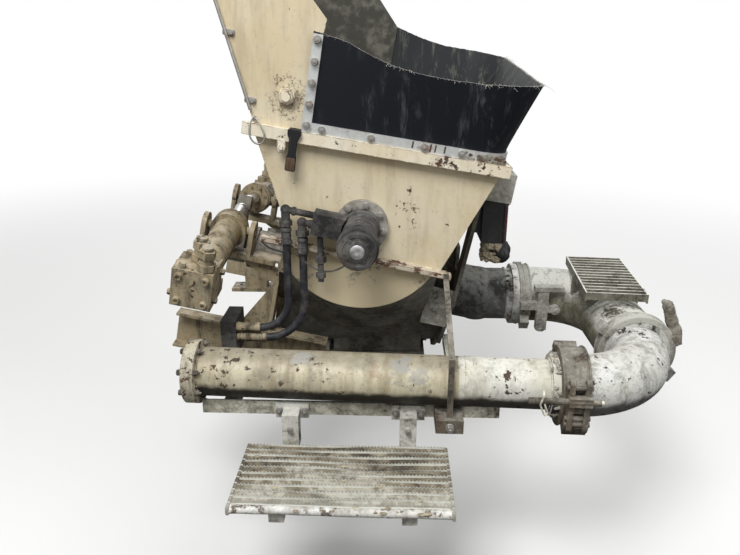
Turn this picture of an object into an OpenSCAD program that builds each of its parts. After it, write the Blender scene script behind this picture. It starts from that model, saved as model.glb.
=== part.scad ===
// Rear hopper unit of a concrete pump.
// The origin is the middle of the four bolt holes under the rail feet.
// +X points to the rear, +Y to the far side, +Z up. All sizes are in millimetres.

/* [Pump cell] */
// Slope of the hopper and the pump axis, down to the rear
tilt = 11.5; // [8:0.5:14]
// Agitator axis, behind the origin
agitator_x = 496; // [480:1:510]
// Agitator axis, above the origin
agitator_z = 515; // [505:1:525]

/* [Hopper] */
// Width across the side plates
hopper_w = 920; // [900:10:940]
// Plate thickness
wall = 8; // [6:1:10]
// Outer radius of the trough at the side plates
trough_r = 265; // [262:1:268]
// Level of the split flange, below the agitator axis
split_drop = 95; // [90:1:100]
// Level of the hopper's top edge, above the agitator axis
edge_z = 205; // [200:1:215]
// Front end of the top edge, before the agitator axis
edge_front = 355; // [350:1:360]
// Rear end of the top edge, behind the agitator axis
edge_rear = 366; // [362:1:372]
// Angle by which the top edge lies flatter than the hopper's slope
rim_turn = 2.4; // [2:0.1:3]
// Inner face of the front plate, before the agitator axis
front_in = 200; // [195:1:205]
// Thickness of the front plate
front_t = 20; // [16:1:24]
// Inner face of the rear plate, behind the agitator axis
rear_in = 262; // [258:1:266]
// Thickness of the rear plate
rear_t = 12; // [10:1:16]
// Half width of the deep middle of the trough
deep_half = 290; // [280:1:300]
// Outer radius of the trough at its deep middle
deep_r = 405; // [400:1:410]

/* [Rim and hood] */
// Height of the rim bar
rim_h = 34; // [30:1:38]
// Depth of the rim bar, outwards from the plates
rim_t = 28; // [24:1:32]
// Thickness of the hood plates
hood_t = 6; // [5:1:8]
// Height of the hood above the rim
hood_h = 480; // [440:10:500]
// Height of the rubber guard above the rim at its near front end
guard_h = 273; // [265:1:280]
// Thickness of the rubber guard
guard_t = 8; // [6:1:9]
// Width of the retaining strips
strip_w = 28; // [26:1:32]
// Thickness of the retaining strips
strip_t = 5; // [4:1:6]

/* [Valve] */
// Valve axis, below the agitator axis
valve_drop = 290; // [285:1:295]
// Distance between the two cylinder ports
port_span = 240; // [236:1:244]
// Cylinder ports, below the valve axis
port_drop = 150; // [146:1:152]
// Radius of a cylinder port
port_r = 90; // [86:1:92]
// Outer radius of the valve tube
tube_r = 88; // [84:1:90]
// Wall of the valve tube
tube_wall = 13; // [10:1:16]
// Radius of the valve's wear ring
ring_r = 103; // [100:1:105]
// Inner radius of the valve well at the front plate
well_front_r = 310; // [308:1:316]
// Inner radius of the valve well at the rear plate
well_rear_r = 215; // [210:1:220]
// Radius of the valve shaft
shaft_r = 40; // [36:1:44]
// Length of the crank lever
crank_len = 160; // [150:1:170]

/* [Agitator] */
// Radius of the agitator shaft
agit_r = 32; // [28:1:36]
// Reach of the paddles
paddle_r = 200; // [190:1:202]
// Inner end of a paddle, from the middle
paddle_in = 262; // [255:1:270]
// Outer end of a paddle, from the middle
paddle_out = 436; // [430:1:440]
// Thickness of a paddle blade
paddle_t = 14; // [10:1:16]
// Radius of the motor flange
motor_flange_r = 80; // [76:1:84]
// Radius of the motor
motor_r = 56; // [52:1:60]
// Reach of the motor from the side plate
motor_len = 275; // [260:5:290]

/* [Delivery line] */
// Height of the delivery line's axis above the origin
line_z = 135; // [131:1:139]
// Outlet flange, behind the origin
outlet_x = 1056; // [1050:1:1064]
// Radius of the outlet flange
outlet_flange_r = 113; // [112:1:118]
// Outer radius of the first elbow
bend1_r = 101; // [98:1:103]
// Bend radius of the first elbow
bend1_R = 205; // [200:1:212]
// Outer radius of the second elbow
bend2_r = 86; // [83:1:88]
// Bend radius of the second elbow
bend2_R = 240; // [236:1:244]
// Delivery pipe's axis, towards the near side
pipe_y = 730; // [725:1:735]
// Outer radius of the delivery pipe
pipe_r = 70; // [68:1:72]
// Inner radius of the delivery pipe
pipe_bore = 62.5; // [61:0.5:64]
// Length of the delivery pipe
pipe_len = 1080; // [1065:5:1095]
// Angle by which the delivery pipe turns in towards the front
pipe_toe = 2.5; // [2:0.5:4]
// Outer radius of a pipe coupling
coupling_r = 108; // [104:1:110]
// Width of a pipe coupling
coupling_w = 75; // [70:1:80]

/* [Steps] */
// Length of the side step
step_len = 560; // [540:5:580]
// Depth of the side step
step_d = 285; // [275:5:295]
// Number of planks in the side step
step_rows = 11; // [9:1:12]
// Height of the rail that carries the step
rail_h = 40; // [36:1:44]
// Length of the rail that carries the step
rail_len = 850; // [830:5:870]
// Length of the grating over the elbow
grating_len = 390; // [370:5:400]
// Width of the grating over the elbow
grating_w = 195; // [185:5:205]

/* [Carrying rails] */
// Distance between the carrying rails' middles
rail_span = 760; // [750:5:770]
// Height of a carrying rail
channel_h = 120; // [110:1:126]
// Width of a carrying rail's flanges
channel_w = 50; // [46:1:56]
// Thickness of a carrying rail
channel_t = 8; // [6:1:9]
// Distance between the foot's two bolt holes
foot_pitch = 140; // [130:5:150]
// Radius of a foot bolt hole
foot_hole_r = 9; // [8:0.5:11]
// Thickness of a foot plate
foot_t = 14; // [12:1:16]

/* [Hidden] */
$fn = 64;

cream = "#d9cda9";
grey = "#8d8c86";
dark = "#3d3d3f";
zinc = "#a8aaa9";
rubber = "#1d1d1f";
rust = "#7a6654";
cement = "#bdb9aa";

half_w = hopper_w / 2;
gap = 0.3;
big = 3000;

// The well is a cone round the valve axis; it ends at the rear plate.
back_x = 350;
well_slope = (well_front_r - well_rear_r) / (front_in + rear_in);
// The outlet bends from the pump's slope to level where the two axes meet.
kink = (agitator_z - valve_drop * cos(tilt) - line_z) / sin(tilt);
kink_x = agitator_x + kink * cos(tilt) - valve_drop * sin(tilt);
// The valve tube is two equal arcs between its inlet and its outlet sleeve.
inlet_off = sqrt(pow(port_span / 2, 2) + pow(port_drop, 2));
swing = atan2(port_span / 2, port_drop);
ring_gap = 3;
ring_t = 32;
arc_start = -front_in + ring_gap + ring_t;
arc_end = rear_in - 32;
arc_len = arc_end - arc_start;
arc_turn = 2 * atan2(inlet_off, arc_len);
arc_R = arc_len / (2 * sin(arc_turn));
sleeve_end = kink - 22;
sleeve_gap = 1;
lumen = tube_r - tube_wall;
// Upright cheeks of the hood, as an outline in the pump's slope
rim_top = edge_z + rim_h;
pin_x = -277;
pin_z = edge_z + 122;
grate_pin_r = 14;
turn_x = -230;
cheek_front = [[-362, rim_top], [-362 - 0.46 * hood_h, rim_top + hood_h]];
near_cheek = concat(cheek_front, [[-374, rim_top + hood_h], [-193, rim_top + 0.64 * hood_h],
  [-222, rim_top]]);
far_cheek = concat(cheek_front, [[-135, rim_top + hood_h], [3, 0.7 * hood_h + rim_top],
  [0, rim_top]]);
// The crank and its two shift cylinders work in one plane before the front plate.
crank_x = -430;
shift_y = 235;
shift_angle = 8;
tip_z = -valve_drop + crank_len;
shift_z = tip_z - shift_y * tan(shift_angle);
shift_len = shift_y / cos(shift_angle);
barrel_r = 46;
barrel_back = 335;
head_len = 112;
rod_r = 22;
trunnion_r = 16;
// Clean-out pan under the well
pan_x = 540;
pan_len = 317;
pan_half = 160;
pan_z = -46;
pan_depth = 62;
pan_R = (pow(pan_len / 2, 2) + pow(pan_depth, 2)) / (2 * pan_depth);
collar_t = 8;
// Delivery line
clamp1_w = 44;
bend1_x = outlet_x + 84;
mid_x = bend1_x + bend1_R;
mid_y = -(pipe_y - bend2_R);
pipe_x = mid_x - bend2_R * (1 + sin(pipe_toe)) ;
pipe_end_y = mid_y - bend2_R * cos(pipe_toe);
coupling_mid = -9;
// Side step and its rail
rail_x = 50;
rail_y = -716;
rail_t = 10;
rail_top = 63;
arm_front = 110;
arm_rear = rail_x + rail_len - 127;
step_x = rail_x + rail_len - 710;
step_y = -790;
step_z = -32;
step_arms = [[step_x + 120, 46], [step_x + 450, 46]];
// Strap from the split flange to the rail's rear end, as points in Y and Z
strap_x = rail_x + rail_len - 148;
strap_top = [-498, 354];
strap_bend = [-786, 232];
strap_foot = [-786, 51];
// Carrying rails
channel_top = -430;
channel_end = -32;
channel_front = -530;

// Places its children in the pump's slope, with the agitator axis as origin.
module cell() {
  translate([agitator_x, 0, agitator_z]) rotate([0, tilt, 0]) children();
}
// The hopper's top edge as a line, and the frame of all that stands on it.
function edge_at(x) = edge_z + (x - turn_x) * tan(rim_turn);
module upper() {
  cell() translate([turn_x, 0, edge_z]) rotate([0, -rim_turn, 0]) translate([-turn_x, 0, -edge_z])
    children();
}
// The pump's slope with the valve axis as origin and +X along it.
module valve_axis() {
  cell() translate([0, 0, -valve_drop]) children();
}
// A cylinder along Y from y0 to y1.
module rod_y(r, y0, y1) {
  translate([0, y0, 0]) rotate([-90, 0, 0]) cylinder(r = r, h = y1 - y0);
}
// A cylinder along X from x0 to x1.
module rod_x(r, x0, x1) {
  translate([x0, 0, 0]) rotate([0, 90, 0]) cylinder(r = r, h = x1 - x0);
}
// A box between two corners.
module block(a, b) {
  translate(a) cube(b - a);
}
// Extrudes an outline drawn in X and Z along Y, from y0 to y1.
module plate_y(y0, y1) {
  translate([0, y1, 0]) rotate([90, 0, 0]) linear_extrude(y1 - y0) children();
}
// Extrudes an outline drawn in Y and Z along X, from x0 to x1.
module plate_x(x0, x1) {
  translate([x0, 0, 0]) rotate([90, 0, 90]) linear_extrude(x1 - x0) children();
}
module both_sides() {
  children();
  mirror([0, 1, 0]) children();
}
// A hexagon bolt head standing on Z = 0.
module hex_head(af, h) {
  cylinder(r = af / sqrt(3), h = h, $fn = 6);
}

// Straight walls of the hopper in X and Z, above and below the split.
module side_outline(inset) {
  over = big * sign(inset);
  polygon([[-edge_front + inset, edge_at(-edge_front) + over],
    [-edge_front + inset, edge_at(-edge_front)], [-front_in + inset, -split_drop + 6],
    [-front_in + inset, -trough_r], [rear_in - inset, -trough_r],
    [rear_in - inset, -split_drop], [edge_rear - inset, edge_at(edge_rear)],
    [edge_rear - inset, edge_at(edge_rear) + over]]);
}
module upper_half() {
  block([-big, -big, -split_drop], [big, big, big]);
}
module lower_slab(x0, x1) {
  block([x0, -half_w, -big], [x1, half_w, -split_drop]);
}
// Round bottom of the hopper, turned about the agitator axis, with a conical well.
module bowl(inset) {
  rotate([90, 0, 0]) rotate_extrude($fn = 96)
    polygon([[0, -half_w + inset], [trough_r - inset, -half_w + inset],
      [deep_r - inset, -deep_half], [deep_r - inset, deep_half],
      [trough_r - inset, half_w - inset], [0, half_w - inset]]);
}
// The valve well: a cone about the valve axis, grown by the given amount.
module well(grow) {
  len = front_in + back_x + 2;
  translate([-front_in - 1, 0, -valve_drop]) rotate([0, 90, 0])
    cylinder(r1 = well_front_r + well_slope + grow,
      r2 = well_front_r + well_slope + grow - len * well_slope, h = len, $fn = 96);
}
// The trough's outside, or its inside one wall further in.
module trough_space(inset) {
  over = sign(inset);
  intersection() {
    bowl(inset);
    block([-front_in - over, -half_w, -big], [rear_in - inset, half_w, -split_drop + over]);
  }
  intersection() {
    well(wall - inset);
    block([-front_in - over, -half_w, -big], [back_x + over, half_w, -split_drop - inset]);
  }
}
module collar_space(inset, z0, z1) {
  block([pan_x - pan_len / 2 + inset, -pan_half + inset, z0],
    [pan_x + pan_len / 2 - inset, pan_half - inset, z1]);
}

module hopper_tub() color(cream) cell() {
  difference() {
    intersection() {
      plate_y(-half_w, half_w) side_outline(0);
      upper_half();
    }
    plate_y(-half_w + wall, half_w - wall) side_outline(wall);
    rod_y(agit_r + 6, -big, big);
  }
}

module hopper_trough() color(cement) {
  difference() {
    union() {
      cell() trough_space(0);
      difference() {
        collar_space(0, pan_z, 160);
        cell() bowl(wall / 2);
        cell() well(wall / 2);
      }
      translate([pan_x, 0, pan_z]) collar_rim();
    }
    cell() trough_space(wall);
    collar_space(collar_t, pan_z - 1, 170);
    cell() rod_y(agit_r + 6, -big, big);
  }
}
module collar_rim() {
  block([-pan_len / 2 - 14, -pan_half - 14, 0], [pan_len / 2 + 14, pan_half + 14, 10]);
}

// End plate in the shape of the bowl's section, with a border.
module end_outline(r, border) {
  translate([0, -valve_drop]) circle(r + border, $fn = 96);
  polygon([[-half_w, -split_drop], [-half_w, -174 - border], [-deep_half, -352 - border],
    [deep_half, -352 - border], [half_w, -174 - border], [half_w, -split_drop]]);
}
module front_plate() color(cream) cell() {
  difference() {
    plate_x(-front_in - front_t, -front_in) difference() {
      end_outline(well_front_r, 24);
      for (s = [-1, 1])
        translate([s * port_span / 2, -valve_drop - port_drop]) circle(port_r, $fn = 96);
      translate([0, -valve_drop]) circle(shaft_r + 1);
    }
    upper_half();
    for (s = [-1, 1], a = [30:60:330])
      translate([0, s * port_span / 2, -valve_drop - port_drop]) rotate([s * a, 0, 0])
        translate([0, 0, port_r + 14]) rod_x(5.5, -front_in - front_t - 1, -front_in - 2);
  }
}
module rear_plate() color(cement) difference() {
  cell() plate_x(back_x, back_x + rear_t) difference() {
    union() {
      intersection() {
        translate([0, -valve_drop]) circle(back_r, $fn = 96);
        translate([-big, -big]) square([2 * big, big - split_drop]);
      }
      polygon([[-310, 130], [-310, -250], [-220, -430], [220, -430], [310, -250], [310, 130],
        [230, 130], [230, -150], [-230, -150], [-230, 130]]);
    }
    translate([0, -valve_drop]) circle(tube_r + sleeve_gap);
  }
  block([-big, -big, -big], [big, big, pan_z + 6]);
}
back_r = 226;

// Flange bars along the split between the hopper's upper and lower halves.
module split_bars() color(rust) cell() both_sides()
  difference() {
    block([-290, -half_w - 34, -split_drop - 7], [296, -half_w, -split_drop + 7]);
    rod_y(motor_flange_r + 8, -big, big);
  }

module rim_frame() color(cream) upper() {
  difference() {
    union() {
      block([-edge_front - 20, -half_w - rim_t, edge_z],
        [edge_rear + 24, half_w + rim_t, rim_top]);
      both_sides() translate([-edge_front - 20, -half_w - rim_t / 2 + 4, edge_z])
        cylinder(r = rim_t / 2 + 4, h = rim_h);
    }
    block([-edge_front + wall, -half_w + wall, edge_z - 1],
      [edge_rear - wall, half_w - wall, rim_top + 1]);
  }
}

// The far cheek reaches further back than the near one.
module side_cheeks() color(cream) upper() difference() {
  union() {
    plate_y(-half_w - hood_t, -half_w) polygon(near_cheek);
    plate_y(half_w, half_w + hood_t) polygon(far_cheek);
  }
  translate([pin_x, 0, pin_z]) rod_y(grate_pin_r + 0.3, -big, big);
}
module splash_back() color(cement) upper()
  plate_y(-half_w + gap, half_w - gap)
    polygon([cheek_front[0], cheek_front[1], cheek_front[1] + [1.2 * hood_t, 0],
      cheek_front[0] + [1.2 * hood_t, 0]]);

// The guard stands on the rim: each post is its foot in X and Y and the way it faces.
guard_front = -224;
guard_far_front = -24;
side_y = half_w + hood_t;
corner_r = 90;
corner_x = edge_rear - 84;
guard_posts = concat(
  [for (x = [guard_front, guard_front + strip_w, -165, -129, -92, -56, -25, 5, 45, 86, 130, 175, 220, 262])
    [x, -side_y, -90]],
  [for (a = [-75:15:0])
    [corner_x + corner_r * cos(a), -side_y + corner_r + corner_r * sin(a), a]],
  [for (y = [-190, 0, 190]) [corner_x + corner_r, y, 0]],
  [for (a = [0:15:75])
    [corner_x + corner_r * cos(a), side_y - corner_r + corner_r * sin(a), a]],
  [for (x = [262, 201, 150, 109, 60, guard_far_front + strip_w, guard_far_front]) [x, side_y, 90]]);
// Height of the cut edge above the rim, on the near and the far side, by X.
near_edge = [[-224, 0], [-129, -14], [-56, -39], [5, -55], [86, -64], [175, -65], [262, -62],
  [379, -43]];
far_edge = [[3, 63], [109, 37], [201, 24], [328, 25], [379, 24]];
// How far the cut edge stands out beyond the foot on the near and the far side, by X.
near_flare = [[guard_front + strip_w, 0], [-56, 8], [86, 20], [262, 34], [330, 52], [379, 66]];
far_flare = [[guard_far_front + strip_w, 0], [86, 16], [262, 34], [330, 52], [379, 66]];
function guard_top(p) = let (far = (p[1] + side_y) / (2 * side_y))
  rim_top + guard_h + (1 - far) * lookup(p[0], near_edge) + far * lookup(p[0], far_edge);
function flare(p) = lookup(p[0], p[1] < 0 ? near_flare : far_flare);
function guard_point(p, out, level) = let (reach = out + (level == 2 ? flare(p) : 0))
  [p[0] + reach * cos(p[2]), p[1] + reach * sin(p[2]),
    level == 0 ? rim_top : level == 1 ? rim_top + strip_w + 8 : guard_top(p)];
function two(a, b, c, d) = [[a, b, c], [a, c, d]];
module splash_guard() color(rubber) upper() {
  last = len(guard_posts) - 1;
  points = [for (p = guard_posts, out = [guard_t, 0], level = [0:2]) guard_point(p, out, level)];
  outside = [for (i = [0:last - 1], k = [0, 1], f = two(6 * i + k, 6 * i + k + 1, 6 * i + k + 7, 6 * i + k + 6)) f];
  inside = [for (i = [0:last - 1], k = [3, 4], f = two(6 * i + k, 6 * i + k + 6, 6 * i + k + 7, 6 * i + k + 1)) f];
  top = [for (i = [0:last - 1], f = two(6 * i + 2, 6 * i + 5, 6 * i + 11, 6 * i + 8)) f];
  foot = [for (i = [0:last - 1], f = two(6 * i, 6 * i + 6, 6 * i + 9, 6 * i + 3)) f];
  ends = [for (k = [0, 1], f = concat(two(k, k + 3, k + 4, k + 1),
    two(6 * last + k, 6 * last + k + 1, 6 * last + k + 4, 6 * last + k + 3))) f];
  polyhedron(points, concat(outside, inside, top, foot, ends));
}
module guard_plan(out) {
  for (s = [-1, 1])
    translate([corner_x, s * (side_y - corner_r)]) circle(corner_r + out, $fn = 48);
  translate([corner_x, -side_y + corner_r]) square([corner_r + out, 2 * (side_y - corner_r)]);
  translate([guard_front, -side_y - out]) square([corner_x - guard_front, 2 * (side_y + out)]);
}
module guard_strips() color(zinc) upper() {
  out = guard_t + strip_t;
  difference() {
    translate([0, 0, rim_top]) linear_extrude(strip_w) guard_plan(out);
    translate([0, 0, rim_top - 1]) linear_extrude(strip_w + 2) guard_plan(guard_t);
    block([-big, -big, rim_top - 2], [guard_front + strip_w + gap, big, big]);
    block([-big, 0, rim_top - 2], [guard_far_front + strip_w + gap, big, big]);
  }
  block([guard_front, -side_y - out, rim_top], [guard_front + strip_w, -side_y - guard_t, rim_top + guard_h - 6]);
  block([guard_far_front, side_y + guard_t, rim_top], [guard_far_front + strip_w, side_y + out, rim_top + guard_h + 40]);
}

// Ties from the hopper to the rear plate, and the beam across under the rim's rear edge.
neck_r = 100;
beam_rear = 428;
beam_h = 88;
beam_half = 400;
module rear_frame() color(dark) {
  cell() both_sides() block([rear_in + gap, -306, -330], [back_x - gap, -290, -200]);
  difference() {
    upper() block([rear_in + 50, -beam_half, edge_z - beam_h], [beam_rear, beam_half, edge_z - gap]);
    cell() translate([gap, 0, 0]) plate_y(-big, big) side_outline(0);
    upper() block([edge_rear + 10, -beam_half + 8, edge_z - beam_h - 1],
      [beam_rear - 8, beam_half - 8, edge_z - 8]);
  }
}

// Lamps hang upright behind the frame; each box runs on to the rear plate.
lamp_low = [878, -300, 418];
lamp_high = [945, -170, 557];
lamp_lens_t = 14;
module lamp_boxes() color(dark) both_sides() difference() {
  union() {
    block(lamp_low, lamp_high);
    block([lamp_low[0] - 60, lamp_low[1] + 20, lamp_low[2] + 30],
      [lamp_low[0], lamp_high[1] - 20, lamp_high[2] - 30]);
  }
  cell() block([-big, -big, -big], [back_x + rear_t + gap, big, big]);
}
module lamp_lenses() color("#a01818") both_sides()
  block([lamp_high[0], lamp_low[1] + 6, lamp_low[2] + 6],
    [lamp_high[0] + lamp_lens_t, lamp_high[1] - 6, lamp_high[2] - 6]);

// Channels under the pump cell, on level feet.
module channel(x0, x1) {
  difference() {
    block([x0, -channel_w / 2, -channel_h], [x1, channel_w / 2, 0]);
    block([x0 - 1, -channel_w / 2 - 1, -channel_h + channel_t],
      [x1 + 1, channel_w / 2 - channel_t, -channel_t]);
  }
}
module carry_rails() color(cream) cell() both_sides()
  translate([0, -rail_span / 2, channel_top]) channel(channel_front, channel_end);
module rail_feet() color(cream) both_sides() {
  difference() {
    union() {
      block([-foot_pitch / 2 - 35, -rail_span / 2 - 45, 0],
        [foot_pitch / 2 + 35, -rail_span / 2 + 45, foot_t]);
      difference() {
        block([-foot_pitch / 2 + 22, -rail_span / 2 - channel_w / 2, foot_t],
          [foot_pitch / 2 - 22, -rail_span / 2 + channel_w / 2, 140]);
        cell() block([-big, -big, channel_top - channel_h], [big, big, big]);
      }
    }
    for (s = [-1, 1])
      translate([s * foot_pitch / 2, -rail_span / 2, -1]) cylinder(r = foot_hole_r, h = foot_t + 2);
  }
}
module hopper_feet() color(cream) cell() both_sides() {
  difference() {
    union() {
      block([-front_in - front_t - 12, -rail_span / 2 - 24, channel_top],
        [-front_in - front_t, -rail_span / 2 + 60, -190]);
      block([-front_in - front_t - 110, -rail_span / 2 - 24, channel_top],
        [-front_in - front_t - 12, -rail_span / 2 + 24, channel_top + 12]);
      plate_y(-rail_span / 2 - 5, -rail_span / 2 + 5)
        polygon([[-front_in - front_t - 12, channel_top + 12],
          [-front_in - front_t - 100, channel_top + 12], [-front_in - front_t - 12, -260]]);
    }
    block([-big, -deep_half, -big], [big, deep_half, big]);
  }
}

module motor_flange() color(grey) cell() {
  difference() {
    rod_y(motor_flange_r, -half_w - 20, -half_w);
    rod_y(agit_r + 1, -big, big);
    for (a = [0:45:315])
      rotate([0, a, 0]) translate([motor_flange_r - 13, 0, 0]) rod_y(6, -half_w - 21, -half_w - 8);
  }
}
module agitator_motor() color(dark) cell() {
  difference() {
    union() {
      rod_y(motor_flange_r - 24, -half_w - 60, -half_w - 20);
      rod_y(motor_r - 6, -half_w - motor_len + 70, -half_w - 60);
      rod_y(motor_r, -half_w - motor_len + 20, -half_w - motor_len + 70);
      rod_y(motor_r - 5, -half_w - motor_len, -half_w - motor_len + 20);
    }
    rod_y(agit_r + 1, -half_w - 52, big);
  }
}
module far_bearing() color(grey) cell() {
  difference() {
    union() {
      rod_y(motor_flange_r - 4, half_w, half_w + 16);
      rod_y(motor_flange_r - 26, half_w + 16, half_w + 62);
    }
    rod_y(agit_r + 1, -big, half_w + 52);
  }
}
module agitator_shaft() color(cement) cell()
  rod_y(agit_r, -half_w - 46, half_w + 46);
paddles = [[-1, 20], [-1, 200], [1, 110], [1, 290]];
module agitator_paddles() color(cement) cell() {
  for (p = paddles) rotate([0, p[1], 0]) paddle(p[0]);
}
// One paddle on an arm that stands along X.
module paddle(side) {
  mid = (paddle_in + paddle_out) / 2;
  difference() {
    union() {
      rod_y(agit_r + 18, side * mid - 34, side * mid + 34);
      block([agit_r, side * mid - 26, -12], [paddle_r - 40, side * mid + 26, 12]);
      intersection() {
        translate([paddle_r - 42, side * mid, 0]) rotate([side * 22, 0, 0])
          block([-34, (paddle_in - paddle_out) / 2, -paddle_t / 2],
            [60, (paddle_out - paddle_in) / 2, paddle_t / 2]);
        rod_y(paddle_r, side * mid - 100, side * mid + 100);
      }
    }
    rod_y(agit_r, -big, big);
  }
}

// The grate lies in the hopper's mouth and turns about the pin in the cheeks.
grate_z = rim_top + gap;
grate_h = 40;
grate_front = -322;
grate_rear = 336;
grate_half = 432;
module hopper_grate() color(cement) upper() {
  difference() {
    union() {
      difference() {
        block([grate_front, -grate_half, grate_z], [grate_rear, grate_half, grate_z + grate_h]);
        block([grate_front + 12, -grate_half + 12, grate_z - 1],
          [grate_rear - 12, grate_half - 12, grate_z + grate_h + 1]);
      }
      for (i = [1:11])
        translate([0, -grate_half + i * 2 * grate_half / 12, 0])
          block([grate_front + 6, -4, grate_z], [grate_rear - 6, 4, grate_z + grate_h]);
      for (x = [-110, 110])
        translate([x, 0, grate_z + 20]) rod_y(9, -grate_half + 6, grate_half - 6);
      both_sides() plate_y(-grate_half, -grate_half + 12) {
        translate([pin_x, pin_z]) circle(28);
        polygon([[pin_x - 28, pin_z], [pin_x + 28, pin_z], [pin_x + 80, grate_z], [pin_x - 30, grate_z]]);
      }
    }
    translate([pin_x, 0, pin_z]) rod_y(grate_pin_r + 0.3, -big, big);
  }
}
module grate_pins() color(cream) upper() both_sides()
  translate([pin_x, 0, pin_z]) {
    rod_y(grate_pin_r, -half_w - hood_t - 22, -grate_half + 18);
    translate([0, -half_w - hood_t, 0]) rotate([90, 0, 0]) hex_head(36, 16);
    rod_y(24, -half_w - hood_t - 4, -half_w - hood_t);
  }

// Valve tube: inlet ring, two arcs and the outlet sleeve, about the valve axis.
module arc_tube(r, R, turn) {
  translate([0, 0, R]) rotate([90, 0, 0]) rotate([0, 0, -90])
    rotate_extrude(angle = turn, $fn = 96) translate([R, 0]) circle(r);
}
module tube_solid(r, ends) {
  translate([arc_start, 0, -inlet_off]) arc_tube(r, arc_R, arc_turn);
  translate([arc_end, 0, 0]) rotate([0, 180, 0]) arc_tube(r, arc_R, arc_turn);
  rod_x(r, arc_end, sleeve_end + ends);
  translate([0, 0, -inlet_off]) rod_x(r, -front_in + ring_gap - ends, arc_start);
}
module s_tube() color(cement) valve_axis() {
  difference() {
    union() {
      tube_solid(tube_r, 0);
      translate([0, 0, -inlet_off]) rod_x(ring_r, -front_in + ring_gap, arc_start);
      rod_x(shaft_r, crank_x - 34, 60);
      plate_y(-14, 14) polygon([[arc_start, 0], [arc_start, -inlet_off + tube_r - 8],
        [arc_start + 90, -inlet_off + tube_r - 8], [40, -40], [40, 0]]);
    }
    tube_solid(lumen, 1);
  }
}
module crank_lever() color(cement) valve_axis() {
  difference() {
    union() {
      rod_x(shaft_r + 26, crank_x - 28, crank_x + 28);
      plate_x(crank_x - 16, crank_x + 16) polygon([[-36, 20], [36, 20], [13, crank_len], [-13, crank_len]]);
      translate([0, 0, crank_len]) rod_x(28, crank_x - 24, crank_x + 24);
    }
    rod_x(shaft_r, -big, big);
  }
}
// Long bearing on the front plate that carries the valve's shaft.
bearing_r = 96;
module valve_bearing() color(grey) valve_axis() {
  face = -front_in - front_t;
  difference() {
    union() {
      rod_x(bearing_r, face - 22, face);
      rod_x(68, face - 165, face - 22);
      rod_x(78, face - 165, face - 140);
      for (a = [0:90:270])
        rotate([a + 45, 0, 0]) block([face - 120, -6, 0], [face - 22, 6, bearing_r - 6]);
    }
    rod_x(shaft_r + 1, -big, big);
    for (a = [0:60:300])
      rotate([a, 0, 0]) translate([0, 0, bearing_r - 14]) rod_x(6, face - 23, face - 8);
  }
}

// Shift cylinder in the crank's plane; +X here runs from its trunnions to the crank's tip.
module shift_axis(side) {
  cell() translate([crank_x, side * shift_y, shift_z]) rotate([-side * shift_angle, 0, 0])
    rotate([0, 0, -side * 90]) children();
}
module shift_barrel() {
  difference() {
    union() {
      rod_x(barrel_r, -barrel_back, 34);
      rod_x(barrel_r + 8, 18, 36);
      rod_x(barrel_r + 14, -26, 26);
      rod_y(trunnion_r, -92, 92);
      block([-barrel_back - head_len, -58, -58], [-barrel_back, 58, 58]);
      block([-barrel_back, -58, -58], [-barrel_back + 26, 58, -20]);
      for (p = adaptors) translate(p) {
        cylinder(r = 19, h = 60);
        translate([0, 0, 4]) hex_head(46, 20);
        translate([0, 0, 42]) hex_head(42, 22);
      }
    }
    rod_x(rod_r + 0.5, -barrel_back + 20, big);
  }
}
adaptors = [[-barrel_back - 36, 0, 56], [-barrel_back - 86, -30, 56]];
module shift_rod() {
  rod_x(rod_r, -150, shift_len - 62);
  translate([shift_len - 66, 0, 0]) sphere(24);
}
module near_shift_barrel() color(cream) shift_axis(-1) shift_barrel();
module far_shift_barrel() color(cream) shift_axis(1) shift_barrel();
module near_shift_rod() color(zinc) shift_axis(-1) shift_rod();
module far_shift_rod() color(zinc) shift_axis(1) shift_rod();
// Shelves on the front plate whose upright plates hold the cylinders' trunnions.
shelf_z = -250;
module shift_brackets() color(cream) cell() both_sides() {
  block([crank_x - 90, -shift_y - 40, shelf_z], [-front_in - front_t - gap, -shift_y + 36, shelf_z + 16]);
  for (x = [crank_x - 88, crank_x + 72])
    plate_x(x, x + 16) difference() {
      union() {
        translate([-shift_y, shift_z]) circle(40);
        translate([-shift_y - 40, shelf_z + 10]) square([76, shift_z - shelf_z - 10]);
      }
      translate([-shift_y, shift_z]) circle(trunnion_r + gap);
    }
  plate_y(-shift_y - 12, -shift_y + 4) polygon([[crank_x + 30, shelf_z + 4],
    [-front_in - front_t - gap, shelf_z - 90], [-front_in - front_t - gap, shelf_z + 4]]);
}

// Round-bottomed door under the well, hinged at its front edge.
hinge_x = -pan_len / 2 - 26;
hinge_z = -12;
module clean_out_door() color(cement) translate([pan_x, 0, pan_z - gap]) {
  difference() {
    union() {
      block([-pan_len / 2 - 14, -pan_half - 14, -10], [pan_len / 2 + 14, pan_half + 14, 0]);
      intersection() {
        translate([0, 0, pan_R - pan_depth]) rod_y(pan_R, -pan_half, pan_half);
        block([-big, -big, -big], [big, big, -1]);
      }
      both_sides() hull() {
        translate([hinge_x, 0, hinge_z]) rod_y(12, -150, -110);
        block([-pan_len / 2, -150, -10], [-pan_len / 2 + 10, -110, -2]);
      }
      block([pan_len / 2 + 10, -24, -10], [pan_len / 2 + 30, 24, 0]);
      block([-30, -14, -pan_depth - 34], [30, 14, -pan_depth + 8]);
    }
    intersection() {
      translate([0, 0, pan_R - pan_depth]) rod_y(pan_R - 8, -pan_half + 8, pan_half - 8);
      block([-big, -big, -big], [big, big, 1]);
    }
    translate([hinge_x, 0, hinge_z]) rod_y(8.3, -big, big);
  }
}
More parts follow.
